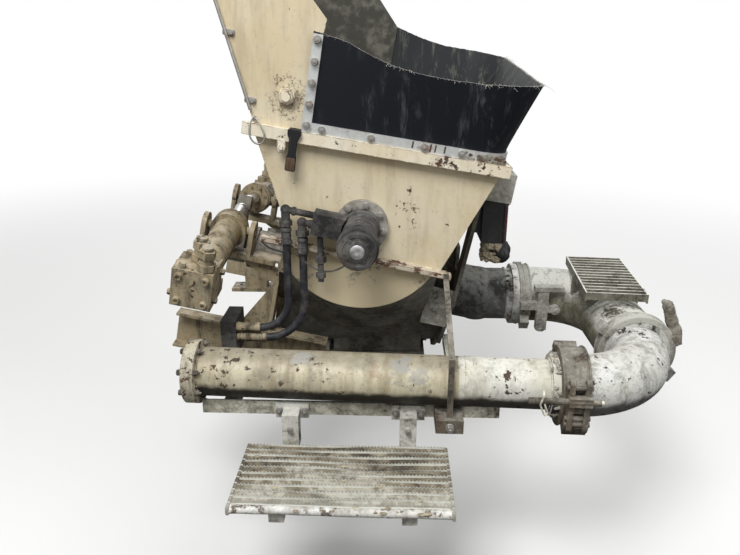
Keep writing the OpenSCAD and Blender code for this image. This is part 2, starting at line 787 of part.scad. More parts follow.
module door_latch() color(grey) difference() {
  translate([pan_x + hinge_x, 0, pan_z + hinge_z - gap]) {
    rod_y(8, -190, 190);
    both_sides() for (y = [-182, -104])
      plate_y(y, y + 20) polygon([[-14, -4], [-14, 60], [11, 60], [11, -4]]);
  }
  cell() well(wall + gap);
}

// Cast neck from the rear plate, bending to level at its flange.
module outlet_neck() color(grey) {
  difference() {
    union() {
      valve_axis() rod_x(neck_r, back_x + rear_t + gap, kink);
      translate([kink_x, 0, line_z]) sphere(neck_r + 2);
      translate([kink_x, 0, line_z]) rod_x(neck_r - 4, 0, outlet_x - kink_x - 20);
      translate([0, 0, line_z]) rod_x(outlet_flange_r, outlet_x - 22, outlet_x);
      valve_axis() rod_x(neck_r + 26, back_x + rear_t + gap, back_x + rear_t + 22);
    }
    valve_axis() rod_x(tube_r + sleeve_gap, 0, sleeve_end + 2);
    valve_axis() rod_x(lumen, 0, kink);
    translate([kink_x, 0, line_z]) sphere(lumen + 1);
    translate([kink_x, 0, line_z]) rod_x(lumen, 0, big);
  }
}

// Ring clamp of two halves about X, with ears for its lever.
module ring_clamp(r_out, r_in, w) {
  difference() {
    union() {
      rod_x(r_out, -w / 2, w / 2);
      rotate([35, 0, 0]) {
        block([-w / 2 + 6, r_out - 14, -16], [w / 2 - 6, r_out + 26, 16]);
        block([-w / 2 + 6, -r_out - 30, -20], [w / 2 - 6, -r_out + 14, 20]);
      }
    }
    rod_x(r_in, -big, big);
  }
}
module outlet_clamp() color(grey) translate([outlet_x + clamp1_w / 2, 0, line_z]) {
  ring_clamp(outlet_flange_r, bend1_r + gap, clamp1_w);
  translate([0, -outlet_flange_r - 12, 0]) {
    block([-20, -10, -14], [80, 18, 14]);
    block([38, -14, -90], [76, 14, 66]);
    block([26, -18, 60], [128, 18, 76]);
    translate([104, 0, -12]) rod_y(17, -16, 2);
    block([70, -10, -24], [104, 10, 0]);
  }
}
// A bend that starts along +X and turns towards -Y.
module bend(r, R, turn) {
  translate([0, -R, 0]) rotate([0, 0, 90]) rotate([0, 0, -turn])
    rotate_extrude(angle = turn, $fn = 96) translate([R, 0]) circle(r);
}
module elbow_one_space(r, ends) {
  translate([outlet_x, 0, line_z]) {
    rod_x(r, gap - ends, bend1_x - outlet_x);
    translate([bend1_x - outlet_x, 0, 0]) bend(r, bend1_R, 90);
  }
  translate([mid_x, 0, line_z]) rod_y(r, mid_y + gap - ends, -bend1_R);
}
module first_elbow() color(cement) difference() {
  elbow_one_space(bend1_r, 0);
  elbow_one_space(lumen, 1);
}
module middle_clamp() color(rust) translate([mid_x, mid_y, line_z]) rotate([0, 0, 90]) {
  ring_clamp(bend1_r + 16, bend1_r + gap, 46);
  rotate([-20, 0, 0]) translate([0, -bend1_r - 24, 0]) {
    block([-16, -14, -20], [16, 18, 34]);
    block([-12, -18, 30], [12, 4, 112]);
  }
}
module elbow_two_space(r, ends) {
  translate([mid_x, mid_y, line_z]) {
    rotate([0, 0, -90]) bend(r, bend2_R, 90 + pipe_toe);
    if (ends > 0) rod_y(r, 0, ends);
  }
}
module second_elbow() color(cement) difference() {
  union() {
    elbow_two_space(bend2_r, 0);
    translate([mid_x, mid_y, line_z]) rod_y(bend1_r, -24, 0);
  }
  elbow_two_space(pipe_bore, 1);
  line_end() rod_x(pipe_bore, -1, 0);
}
// Places its children at the delivery pipe's rear end, with -X along the pipe.
module line_end() {
  translate([pipe_x, pipe_end_y, line_z]) rotate([0, 0, -pipe_toe]) children();
}
module pipe_clamp() color(rust) difference() {
  line_end() translate([coupling_mid, 0, 0]) {
    ring_clamp(coupling_r, bend2_r + gap, coupling_w);
    translate([0, -coupling_r, 0]) {
      for (x = [-21, 21]) block([x - 7, -26, -62], [x + 7, 6, 66]);
      for (z = [-44, -18, 50]) block([-16, -18, z], [16, 4, z + 14]);
      translate([0, -32, 24]) rod_x(9, -132, 52);
      block([-30, -40, 12], [30, -18, 36]);
    }
  }
  elbow_two_space(bend2_r + 3 * gap, 0);
}
module delivery_pipe() color(cream) line_end() difference() {
  union() {
    rod_x(pipe_r, -pipe_len, -1);
    rod_x(bend2_r, coupling_mid - coupling_w / 2 - 20, -1);
    rod_x(pipe_r + 1, -300, -278);
  }
  rod_x(pipe_bore, -big, big);
}
module pipe_end_flange() color(cream) line_end() difference() {
  rod_x(pipe_r + 22, -pipe_len - 6, -pipe_len + 30);
  rod_x(pipe_r, -big, big);
}

// Grating over the first elbow, on two saddles.
grating_z = line_z + bend1_r + 47;
grating_turn = -4.5;
module elbow_step() color(cement) grating_place() {
  bar = 5;
  block([-grating_w / 2, 0, grating_z - 30], [-grating_w / 2 + bar, grating_len, grating_z]);
  block([grating_w / 2 - bar, 0, grating_z - 30], [grating_w / 2, grating_len, grating_z]);
  for (i = [0:13])
    translate([0, i * (grating_len - bar) / 13, 0])
      block([-grating_w / 2, 0, grating_z - 25], [grating_w / 2, bar, grating_z]);
  difference() {
    for (y = [0.28, 0.62])
      translate([0, y * grating_len, 0]) block([-grating_w / 2, -4, line_z + 60], [grating_w / 2, 4, grating_z - 20]);
    translate([0, grating_len, 0]) rotate([0, 0, -grating_turn]) translate([-grating_x, 0, 0])
      elbow_one_space(bend1_r + gap, 0);
  }
}
grating_x = mid_x - 8;
module grating_place() {
  translate([grating_x, 0, 0]) rotate([0, 0, grating_turn]) translate([0, -grating_len, 0]) children();
}

// Flat rail below the delivery pipe, arms that carry it, and the side step.
module pipe_rail() color(grey)
  block([rail_x, rail_y - rail_t, rail_top - rail_h], [rail_x + rail_len, rail_y, rail_top]);
module rail_arms() color(grey) {
  block([arm_front, rail_y + gap, rail_top - rail_h + 6],
    [arm_front + 40, -rail_span / 2 - channel_w / 2 - gap, rail_top - 4]);
  block([arm_rear, rail_y + gap, rail_top - rail_h], [arm_rear + 24, -215, rail_top - 6]);
}
module step_brackets() color(cream) for (a = step_arms) translate([a[0], rail_y - rail_t - gap, 0]) {
  block([-a[1] / 2 - 24, -12, rail_top - rail_h - 4], [a[1] / 2 + 24, 0, rail_top + 1]);
  difference() {
    block([-a[1] / 2, -60, step_z - 20], [a[1] / 2, -12, rail_top - 10]);
    block([-a[1] / 2 - 1, -52, step_z - 8], [a[1] / 2 + 1, -20, rail_top - 18]);
  }
  block([-a[1] / 2 + 4, step_y - step_d + 20 - rail_y + rail_t, step_z - 56],
    [a[1] / 2 - 4, -12, step_z - 22 - gap]);
  block([-a[1] / 2 + 4, -30, step_z - 40], [a[1] / 2 - 4, -12, step_z]);
}
module step_tread() color(cement) translate([step_x, step_y - step_d, step_z - 22]) {
  row = step_d / step_rows;
  for (i = [0:step_rows - 1])
    translate([0, i * row, 0]) block([4, 0, 0], [step_len - 4, row - 5, 18]);
  for (x = [0, step_len - 8]) block([x, 0, -4], [x + 8, step_d, 22]);
}

// Thin strap that ties the hopper to the pipe rail.
module hanger_strap() color(grey) {
  translate([strap_x, 0, 0]) {
    plate_x(-8, 8) polygon([strap_top, strap_bend, strap_foot,
      strap_foot + [-8, 0], strap_bend + [-8, 5], strap_top + [-4, 8], strap_top + [-4, 24],
      strap_top + [4 - gap, 24], strap_top + [4 - gap, 0]]);
    block([-38, strap_foot[0] - 24, strap_foot[1] - 30], [38, rail_y - rail_t - gap, strap_foot[1] + 10]);
  }
}

// Motor fittings: a saddle block on the motor, two elbows, and the block on the rail below.
// Each hose: X and top of its upright part, X and height of its foot, bend radius.
hose_r = 12;
hose_y = -512;
hoses = [[276, 520, 112, 200, 90], [324, 490, 112, 168, 120]];
hose_elbows = [[-227, 14], [-173, -14]];
module hose_fittings() color(grey) {
  cell() difference() {
    union() {
      block([-142, -552, -34], [-20, -484, 30]);
      for (e = hose_elbows) translate([0, hose_y, e[1]]) {
        rod_x(10, e[0], -130);
        translate([e[0], 0, 0]) sphere(15);
        rotate([90, 0, 0]) rotate([0, 90, 0]) translate([0, 0, e[0] + 20]) cylinder(r = 13, h = 10);
      }
    }
    rod_y(motor_r + gap, -big, big);
  }
  for (h = hoses) translate([h[0], hose_y, h[1]]) {
    cylinder(r = 13, h = 48);
    translate([0, 0, 6]) hex_head(34, 16);
  }
  translate([378, -530, 360]) {
    cylinder(r = 9, h = 150);
    translate([0, 0, 60]) hex_head(30, 20);
    translate([0, 0, 12]) hex_head(26, 16);
  }
  block([66, -532, 110], [hoses[0][2], -rail_span / 2 - channel_w / 2 - gap, 226]);
}
module bent_hose(h) translate([0, hose_y, 0]) {
  translate([h[0], 0, h[3] + h[4]]) cylinder(r = hose_r, h = h[1] - gap - h[3] - h[4]);
  translate([h[0], 0, h[1] - gap - 50]) cylinder(r = hose_r + 4, h = 50);
  translate([h[0] - h[4], 0, h[3] + h[4]]) rotate([90, 0, 0]) rotate([0, 0, -90])
    rotate_extrude(angle = 90, $fn = 96) translate([h[4], 0]) circle(hose_r);
  translate([0, 0, h[3]]) rod_x(hose_r + 4, h[2] + gap, h[0] - h[4]);
}
module drain_hoses() color(rubber) for (h = hoses) bent_hose(h);
module draw_latch() color(rubber) upper() {
  y0 = -half_w - rim_t - 14;
  y1 = -half_w - rim_t - gap;
  block([-256, y0, rim_top - 18], [-222, y1, rim_top + 4]);
  block([-256, y0, rim_top + gap], [-222, -half_w - guard_t - 12, rim_top + 4]);
  block([-245, y0, edge_z - 60], [-233, y1, rim_top - 18]);
  block([-256, y0, edge_z - 78], [-222, y1, edge_z - 60]);
  block([-244, y0 + 4, edge_z - 74], [-234, -half_w - gap, edge_z - 64]);
}

hopper_tub();
hopper_trough();
front_plate();
rear_plate();
split_bars();
rim_frame();
side_cheeks();
splash_back();
splash_guard();
guard_strips();
rear_frame();
lamp_boxes();
lamp_lenses();
carry_rails();
rail_feet();
hopper_feet();
motor_flange();
agitator_motor();
far_bearing();
agitator_shaft();
agitator_paddles();
hopper_grate();
grate_pins();
s_tube();
valve_bearing();
crank_lever();
shift_brackets();
near_shift_barrel();
near_shift_rod();
far_shift_barrel();
far_shift_rod();
clean_out_door();
door_latch();
outlet_neck();
outlet_clamp();
first_elbow();
middle_clamp();
second_elbow();
pipe_clamp();
delivery_pipe();
pipe_end_flange();
elbow_step();
pipe_rail();
rail_arms();
step_brackets();
step_tread();
hanger_strap();
hose_fittings();
drain_hoses();
draw_latch();
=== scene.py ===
"""Finishes, small parts and studio for the rear hopper unit of a concrete pump.

Everything is in metres in the unit's own frame: +X to the rear, +Y to the far side, +Z up,
with the origin midway between the four bolt holes under the rail feet.
"""

import logging
import math
from collections.abc import Callable
from dataclasses import dataclass, field
from enum import Enum

import bmesh
import bpy
import numpy as np
from mathutils import Matrix

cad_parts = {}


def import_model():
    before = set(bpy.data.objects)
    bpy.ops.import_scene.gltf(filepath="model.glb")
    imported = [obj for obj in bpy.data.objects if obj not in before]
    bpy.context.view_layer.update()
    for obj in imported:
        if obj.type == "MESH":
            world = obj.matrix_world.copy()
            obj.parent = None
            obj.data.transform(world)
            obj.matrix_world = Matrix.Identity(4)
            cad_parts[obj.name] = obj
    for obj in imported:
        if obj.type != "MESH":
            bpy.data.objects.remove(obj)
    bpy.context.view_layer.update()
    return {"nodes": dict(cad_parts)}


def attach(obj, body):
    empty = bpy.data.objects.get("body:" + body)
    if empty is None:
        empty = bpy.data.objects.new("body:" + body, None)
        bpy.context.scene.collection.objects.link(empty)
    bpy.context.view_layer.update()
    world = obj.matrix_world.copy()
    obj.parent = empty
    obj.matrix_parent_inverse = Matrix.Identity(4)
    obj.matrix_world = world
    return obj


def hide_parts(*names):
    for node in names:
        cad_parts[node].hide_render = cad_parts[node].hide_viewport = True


log = logging.getLogger("hopper_unit")

Colour = tuple[float, float, float]
Array = np.ndarray
Material = bpy.types.Material
Socket = bpy.types.NodeSocket

IMAGE_W = 740
TURN = 2 * math.pi
REAR = np.array((1.0, 0.0, 0.0))
NEAR = np.array((0.0, -1.0, 0.0))
FAR = np.array((0.0, 1.0, 0.0))
UP = np.array((0.0, 0.0, 1.0))
DOWN = np.array((0.0, 0.0, -1.0))


class Body(Enum):
    """Moving bodies of the unit that small parts ride on."""

    UNIT = "hopper_unit"
    GRATE = "grate"
    VALVE = "valve"
    NEAR_CYLINDER = "near_cylinder"
    FAR_CYLINDER = "far_cylinder"


class Placed:
    """A frame of its own, whose place method turns points into the unit's frame."""

    def at(self, x: float, y: float, z: float) -> Array:
        """One point of the frame, in the unit's frame."""
        return self.place(np.array((x, y, z), float))

    def turn(self, vectors: Array) -> Array:
        """Turns directions from the frame into the unit's frame."""
        return self.place(np.asarray(vectors, float)) - self.at(0, 0, 0)


@dataclass(frozen=True)
class PumpSlope(Placed):
    """The sloping frame of the hopper, with the agitator axis as its origin."""

    axis_x: float = 0.496
    axis_z: float = 0.515
    slope: float = math.radians(11.5)

    def place(self, points: Array) -> Array:
        """Turns points from the sloping frame into the unit's frame.

        Args:
            points: Array whose last axis holds x, y and z in the sloping frame.

        Returns:
            The same points in the unit's frame.
        """
        cos_s, sin_s = math.cos(self.slope), math.sin(self.slope)
        x, y, z = points[..., 0], points[..., 1], points[..., 2]
        placed_x = self.axis_x + x * cos_s + z * sin_s
        placed_z = self.axis_z - x * sin_s + z * cos_s
        return np.stack((placed_x, y, placed_z), axis=-1)


SLOPE = PumpSlope()


@dataclass(frozen=True)
class RimLine(Placed):
    """The frame of the hopper's top edge, which lies flatter than the pump's slope."""

    pivot_x: float = -0.230
    pivot_z: float = 0.205
    lift: float = math.radians(2.4)

    def place(self, points: Array) -> Array:
        """Turns points from the rim's frame into the unit's frame."""
        cos_l, sin_l = math.cos(self.lift), math.sin(self.lift)
        x, z = points[..., 0] - self.pivot_x, points[..., 2] - self.pivot_z
        turned_x = self.pivot_x + x * cos_l - z * sin_l
        turned_z = self.pivot_z + x * sin_l + z * cos_l
        return SLOPE.place(np.stack((turned_x, points[..., 1], turned_z), axis=-1))

    def wall(self, face: float, foot: float = 0.0) -> Callable[[Array], Array]:
        """A way to place points on an upright face of the near side.

        Args:
            face: Y of the face.
            foot: Height that the points' heights are counted from.

        Returns:
            A function that places X, height and distance out of the face.
        """
        return lambda p: self.place(np.stack((p[..., 0], face - p[..., 2], foot + p[..., 1]), axis=-1))


RIM = RimLine()


class Graph:
    """Builds the shader nodes of one material, or of the world."""

    def __init__(self, name: str, world: bool = False) -> None:
        """Starts an empty material or world with its output node.

        Args:
            name: Its name.
            world: Whether it is a world.
        """
        self.owner = (bpy.data.worlds if world else bpy.data.materials).new(name)
        self.owner.use_nodes = True
        self.tree = self.owner.node_tree
        self.tree.nodes.clear()
        self.output = self.node("ShaderNodeOutputWorld" if world else "ShaderNodeOutputMaterial")
        self.coords = self.node("ShaderNodeTexCoord").outputs["Object"]
        self.colour: object = (0.0, 0.0, 0.0)

    def node(self, kind: str, inputs: dict | None = None, **settings: object) -> bpy.types.Node:
        """Adds a node.

        Args:
            kind: Its type.
            inputs: Outputs or plain values for its inputs, by name or number.
            settings: Its attributes.

        Returns:
            The node.
        """
        made = self.tree.nodes.new(kind)
        for key, value in settings.items():
            setattr(made, key, value)
        for key, value in (inputs or {}).items():
            self.join(value, made.inputs[key])
        return made

    def join(self, source: object, socket: Socket) -> None:
        """Links an output to a socket, or sets the socket to a plain value; None leaves it."""
        if isinstance(source, Socket):
            self.tree.links.new(source, socket)
        elif source is not None:
            socket.default_value = (*source, 1.0) if socket.type == "RGBA" else source

    def stretched(self, scale: Colour) -> Socket:
        """Object coordinates scaled by axis, for streaks and grain."""
        made = self.node("ShaderNodeMapping", {"Vector": self.coords, "Scale": scale})
        return made.outputs["Vector"]

    def noise(
        self,
        scale: float,
        detail: float = 4.0,
        rough: float = 0.55,
        vector: Socket | None = None,
        warp: float = 0.0,
    ) -> Socket:
        """Cloudy noise with features of about one over the scale, in metres.

        Args:
            scale: Features per metre.
            detail: Octaves.
            rough: Share that each octave keeps.
            vector: Coordinates, or None for the object's own.
            warp: Distortion.

        Returns:
            The noise value, about 0.5 on average.
        """
        made = self.node("ShaderNodeTexNoise", {
            "Vector": vector or self.coords, "Scale": scale, "Detail": detail, "Roughness": rough,
            "Distortion": warp,
        })
        return made.outputs["Fac"]

    def cells(self, scale: float) -> Socket:
        """Distance to the nearest of scattered points."""
        inputs = {"Vector": self.coords, "Scale": scale, "Randomness": 1.0}
        return self.node("ShaderNodeTexVoronoi", inputs, feature="F1").outputs["Distance"]

    def math(self, how: str, a: object, b: object = None) -> Socket:
        """One sum on one or two values."""
        return self.node("ShaderNodeMath", {0: a, 1: b}, operation=how).outputs[0]

    def times(self, a: object, b: object) -> Socket:
        """The product a b."""
        return self.math("MULTIPLY", a, b)

    def plus(self, a: object, b: object) -> Socket:
        """The sum a + b."""
        return self.math("ADD", a, b)

    def minus(self, a: object, b: object) -> Socket:
        """The difference a - b."""
        return self.math("SUBTRACT", a, b)

    def most(self, a: object, b: object) -> Socket:
        """The larger of a and b."""
        return self.math("MAXIMUM", a, b)

    def vector(self, how: str, a: object, b: object = None) -> bpy.types.Node:
        """One sum on vectors; its output 0 is a vector and its output 1 a number."""
        return self.node("ShaderNodeVectorMath", {0: a, 1: b}, operation=how)

    def step(self, value: object, low: float, high: float) -> Socket:
        """Smooth step from 0 at low to 1 at high; low may be the larger one."""
        flip = low > high
        made = self.node("ShaderNodeMapRange", {
            "Value": value, "From Min": min(low, high), "From Max": max(low, high),
            "To Min": float(flip), "To Max": float(not flip),
        }, interpolation_type="SMOOTHSTEP")
        return made.outputs["Result"]

    def blend(self, share: object, a: object, b: object) -> Socket:
        """Mixes two colours; a share of 0 gives the first one."""
        return self.node("ShaderNodeMix", {"Factor": share, 6: a, 7: b}, data_type="RGBA").outputs[2]

    def cover(self, share: object, colour: object) -> None:
        """Lays a colour over the one so far; a share of 0 leaves that one."""
        self.colour = self.blend(share, self.colour, colour)

    def blend_value(self, share: object, a: float, b: float) -> Socket:
        """Mixes two plain values."""
        made = self.node("ShaderNodeMapRange", {"Value": share, "To Min": a, "To Max": b})
        return made.outputs["Result"]

    def axis(self, which: str) -> Socket:
        """One coordinate of the object, in metres."""
        return self.node("ShaderNodeSeparateXYZ", {0: self.coords}).outputs[which]

    def normal(self) -> Socket:
        """The surface normal."""
        return self.node("ShaderNodeNewGeometry").outputs["Normal"]

    def facing(self, which: str) -> Socket:
        """One component of the surface normal."""
        return self.node("ShaderNodeSeparateXYZ", {0: self.normal()}).outputs[which]

    def edges(self, radius: float) -> Socket:
        """1 along sharp edges and 0 on flats, where the rounded normal turns from the true one."""
        rounded = self.node("ShaderNodeBevel", {"Radius": radius}, samples=4).outputs[0]
        alike = self.vector("DOT_PRODUCT", rounded, self.normal()).outputs[1]
        return self.step(self.minus(1.0, alike), 0.002, 0.1)

    def near(self, centre: Colour, radius: float, ragged: float = 0.5) -> Socket:
        """1 inside a ragged patch round a point of the object, 0 outside it."""
        rag = self.times(self.minus(self.noise(28.0, 6.0, 0.65), 0.5), 3.0 * ragged * radius)
        away = self.vector("DISTANCE", self.coords, centre).outputs[1]
        return self.step(self.plus(away, rag), radius, 0.8 * radius)

    def inward(self, centre: Colour) -> Socket:
        """1 on faces that look towards a point, so on the inside of a hollow round it."""
        way = self.vector("SUBTRACT", self.coords, centre).outputs[0]
        return self.step(self.vector("DOT_PRODUCT", way, self.normal()).outputs[1], -0.02, -0.06)

    def finish(
        self,
        rough: object,
        metal: object = 0.0,
        height: Socket | None = None,
        depth: float = 0.0,
        specular: float = 0.5,
        coat: float = 0.0,
    ) -> Material:
        """Joins the surface shader to the colour so far and returns the material.

        Args:
            rough: Roughness, as a number or an output.
            metal: Metallic share, as a number or an output.
            height: Height of the bumps, if any.
            depth: Real depth of the bumps, in metres.
            specular: Level of the plain reflection.
            coat: Weight of a clear coat.

        Returns:
            The finished material.
        """
        bumped = None
        if height is not None:
            made = self.node("ShaderNodeBump", {"Strength": 1.0, "Distance": depth, "Height": height})
            bumped = made.outputs["Normal"]
        shader = self.node("ShaderNodeBsdfPrincipled", {
            "Base Color": self.colour, "Roughness": rough, "Metallic": metal, "Normal": bumped,
            "Specular IOR Level": specular, "Coat Weight": coat,
        })
        self.join(shader.outputs[0], self.output.inputs["Surface"])
        return self.owner


@dataclass(frozen=True)
class Patch:
    """A stain or bare place at one point of a painted piece."""

    centre: Colour
    radius: float
    colour: Colour
    share: float = 0.8
    ragged: float = 0.5
    speckled: bool = False


@dataclass(frozen=True)
class WornPaint:
    """Old paint: faded patches, brown film, chips ringed with rust, dry cement spots."""

    name: str
    paint: Colour = (0.63, 0.53, 0.35)
    faded: Colour = (0.67, 0.59, 0.43)
    film: Colour = (0.22, 0.17, 0.11)
    rust: Colour = (0.11, 0.045, 0.02)
    steel: Colour = (0.06, 0.05, 0.045)
    cement: Colour = (0.42, 0.40, 0.35)
    chips: float = 0.5
    dirt: float = 0.5
    spots: float = 0.3
    edge_wear: float = 1.0
    rough: float = 0.45
    worse_from: float | None = None
    # Strength and colour of the dirt and painted shade laid on faces that look down.
    underside_dirt_and_shade: float = 0.0
    below: Colour = (0.022, 0.019, 0.015)
    hollow: Colour | None = None
    lining: tuple[Colour, Colour] = ((0.045, 0.043, 0.034), (0.13, 0.125, 0.10))
    joined_at: float = 0.0
    # Two colours of the darker paint before the joint, partly dirt and partly painted shade.
    front_dirt_and_shade: tuple[Colour, Colour] = ((0.40, 0.34, 0.225), (0.56, 0.51, 0.37))
    mottled: float = 0.0
    blot: Colour = (0.20, 0.195, 0.15)
    fleck: Colour = (0.10, 0.09, 0.07)
    patches: tuple[Patch, ...] = ()

    def material(self) -> Material:
        """Paint colour, then film, cement spots, rust halo, bare chips and the named patches.

        Darker paint before the joint, partly dirt and partly painted shade, dirt and painted shade on faces
        that look down, and a lining on faces towards the hollow.

        Returns:
            The material.
        """
        g = Graph(self.name)
        clouds = g.noise(5.0, 5.0, 0.6)
        g.colour = g.blend(g.step(clouds, 0.38, 0.62), self.paint, self.faded)
        streaks = g.noise(6.0, 6.0, 0.65, g.stretched((4.0, 4.0, 0.6)))
        grime = g.times(g.step(streaks, 0.44, 0.72), self.dirt)
        # Darker paint before the joint, partly dirt and partly painted shade; the film on its upward faces is
        # dirt.
        if self.joined_at:
            front = g.step(g.axis("X"), self.joined_at + 0.002, self.joined_at - 0.002)
            rings = g.noise(9.0, 6.0, 0.65, g.stretched((3.0, 0.7, 0.7)))
            front_dirt_and_shade = g.blend(g.step(rings, 0.36, 0.60), *self.front_dirt_and_shade)
            g.cover(front, front_dirt_and_shade)
            dusty = g.times(front, g.step(g.facing("Z"), 0.55, 0.95))
            g.cover(g.times(dusty, 0.5), self.film)
        if self.mottled:
            blots = g.step(g.noise(20.0, 9.0, 0.78, warp=0.6), 0.50, 0.62)
            g.cover(g.times(blots, self.mottled), self.blot)
            flecks = g.step(g.noise(90.0, 6.0, 0.8), 0.56, 0.66)
            g.cover(g.times(flecks, self.mottled), self.fleck)
        g.cover(g.times(grime, 0.55), self.film)
        fine = g.noise(60.0, 5.0, 0.7)
        film = g.times(g.step(fine, 0.5, 0.75), 0.35 * self.dirt)
        g.cover(film, self.film)
        spot_field = g.plus(g.cells(95.0), g.times(g.noise(9.0, 3.0), 0.55))
        spots = g.times(g.step(spot_field, 0.36, 0.30), self.spots)
        g.cover(spots, self.cement)
        chip_field = g.plus(g.noise(38.0, 8.0, 0.68), g.times(clouds, 0.30))
        edge = g.times(g.edges(0.004), 0.11 * self.edge_wear)
        chip_field = g.plus(chip_field, edge)
        if self.worse_from is not None:
            worse = g.step(g.axis("X"), self.worse_from, self.worse_from + 0.35)
            chip_field = g.plus(chip_field, g.times(worse, 0.075))
        level = 0.865 - 0.075 * self.chips
        halo = g.step(chip_field, level - 0.022, level + 0.006)
        bare = g.step(chip_field, level, level + 0.01)
        g.cover(halo, self.rust)
        g.cover(g.times(bare, g.step(g.noise(120.0, 3.0), 0.35, 0.6)), self.steel)
        pin_field = g.plus(g.cells(60.0), g.times(g.noise(7.0, 3.0), 0.5))
        pins = g.step(pin_field, 0.245 + 0.02 * self.chips, 0.215 + 0.02 * self.chips)
        g.cover(g.times(pins, 0.85), self.rust)
        # Dirt and painted shade: faces that look down, broken up by noise, go towards the below colour.
        if self.underside_dirt_and_shade:
            turned = g.plus(g.facing("Z"), g.times(g.noise(14.0, 6.0, 0.6), 0.5))
            under = g.times(g.step(turned, 0.16, -0.10), self.underside_dirt_and_shade)
            g.cover(under, self.below)
        if self.hollow:
            lined = g.noise(16.0, 7.0, 0.68)
            lining = g.blend(g.step(lined, 0.44, 0.64), *self.lining)
            g.cover(g.inward(self.hollow), lining)
        for patch in self.patches:
            mask = g.times(g.near(patch.centre, patch.radius, patch.ragged), patch.share)
            if patch.speckled:
                mask = g.times(mask, g.step(g.noise(130.0, 6.0, 0.75), 0.50, 0.60))
            g.cover(mask, patch.colour)
        rough = g.blend_value(g.most(halo, grime), self.rough, 0.82)
        height = g.minus(g.times(fine, 0.12), g.times(halo, 0.5))
        height = g.plus(height, g.times(spots, 0.8))
        return g.finish(rough, 0.0, height, 0.0011, specular=0.3)


@dataclass(frozen=True)
class CementSkin:
    """Steel or rubber under dry cement: pale crust, dark wet-looking patches, pits."""

    name: str
    pale: Colour = (0.42, 0.40, 0.35)
    mid: Colour = (0.24, 0.225, 0.19)
    dark: Colour = (0.075, 0.068, 0.056)
    rust: Colour = (0.13, 0.075, 0.04)
    cover: float = 0.5
    rusty: float = 0.3
    depth: float = 0.0022
    grain: float = 55.0
    painted_ends: float = 0.0
    paint: Colour = (0.60, 0.51, 0.34)
    top_light: float = 0.0
    beyond_x: float = 0.0
    beyond_by: float = 1.0
    rows_from: float = 0.0
    row: float = 0.0
    worn_edges: float = 0.35
    blotted: float = 0.0
    crown: Colour = (0.58, 0.58, 0.52)

    def material(self) -> Material:
        """Three greys by noise, rust in the thin places, lumps in the bump and painted side discs.

        Rows along Y carry painted shade in the low front of each plank and are pale at the crest, faces
        that look up take the crown's colour as painted light, and beyond one X the colour is scaled.

        Returns:
            The material.
        """
        g = Graph(self.name)
        clouds = g.noise(7.0, 6.0, 0.62, warp=0.4)
        grit = g.noise(self.grain, 7.0, 0.7)
        mixed = g.plus(g.times(clouds, 0.62), g.times(grit, 0.38))
        level = 0.62 - 0.24 * self.cover
        g.colour = g.blend(g.step(mixed, level - 0.09, level), self.dark, self.mid)
        g.cover(g.step(mixed, level + 0.01, level + 0.09), self.pale)
        flecks = g.step(g.noise(130.0, 5.0, 0.8), 0.56, 0.66)
        g.cover(g.times(flecks, 0.45), self.dark)
        stain = g.noise(13.0, 5.0, 0.6, g.stretched((1.0, 1.0, 0.35)))
        g.cover(g.times(g.step(stain, 0.53, 0.68), self.rusty), self.rust)
        if self.row:
            turn = g.math("FRACT", g.math("DIVIDE", g.minus(g.axis("Y"), self.rows_from), self.row))
            # Painted shade: the low front of each plank's upper face, beside the gap and under the crest
            # before it, is darkened.
            front = g.times(g.step(turn, 0.46, 0.14), g.step(g.facing("Z"), 0.2, 0.8))
            g.cover(g.times(front, 0.9), self.dark)
            near = g.times(g.step(g.axis("Y"), self.rows_from + 0.11, self.rows_from), 0.4)
            g.cover(near, self.crown)
            g.cover(g.times(g.step(turn, 0.78, 0.84), 0.9), self.crown)
        g.cover(g.times(g.edges(0.003), self.worn_edges), self.pale)
        if self.painted_ends:
            side = g.step(g.math("ABSOLUTE", g.axis("Y")), self.painted_ends - 0.001, self.painted_ends)
            bare = g.step(g.plus(mixed, g.times(g.noise(22.0, 6.0, 0.7), 0.5)), 0.92, 0.80)
            g.cover(g.times(side, bare), self.paint)
        # Painted light: faces that look up are lightened towards the crown colour, as if lit from above.
        if self.top_light:
            top = g.times(g.step(g.facing("Z"), 0.10, 0.72), self.top_light)
            top = g.times(top, g.step(mixed, level - 0.10, level + 0.02))
            g.cover(top, self.crown)
        if self.blotted:
            large = g.step(g.noise(18.0, 9.0, 0.78, warp=0.7), 0.52, 0.60)
            blots = g.most(large, g.step(g.noise(75.0, 6.0, 0.8), 0.55, 0.63))
            g.cover(g.times(blots, self.blotted), self.dark)
        if self.beyond_x:
            inputs = {0: g.colour, "Scale": self.beyond_by}
            scaled = g.node("ShaderNodeVectorMath", inputs, operation="SCALE")
            past = g.step(g.axis("X"), self.beyond_x - 0.004, self.beyond_x + 0.004)
            g.cover(past, scaled.outputs[0])
        pits = g.step(g.cells(150.0), 0.0, 0.35)
        height = g.plus(g.times(grit, 0.8), g.times(pits, 0.25))
        rough = g.blend_value(mixed, 0.95, 0.75)
        return g.finish(rough, 0.0, height, self.depth, specular=0.3)


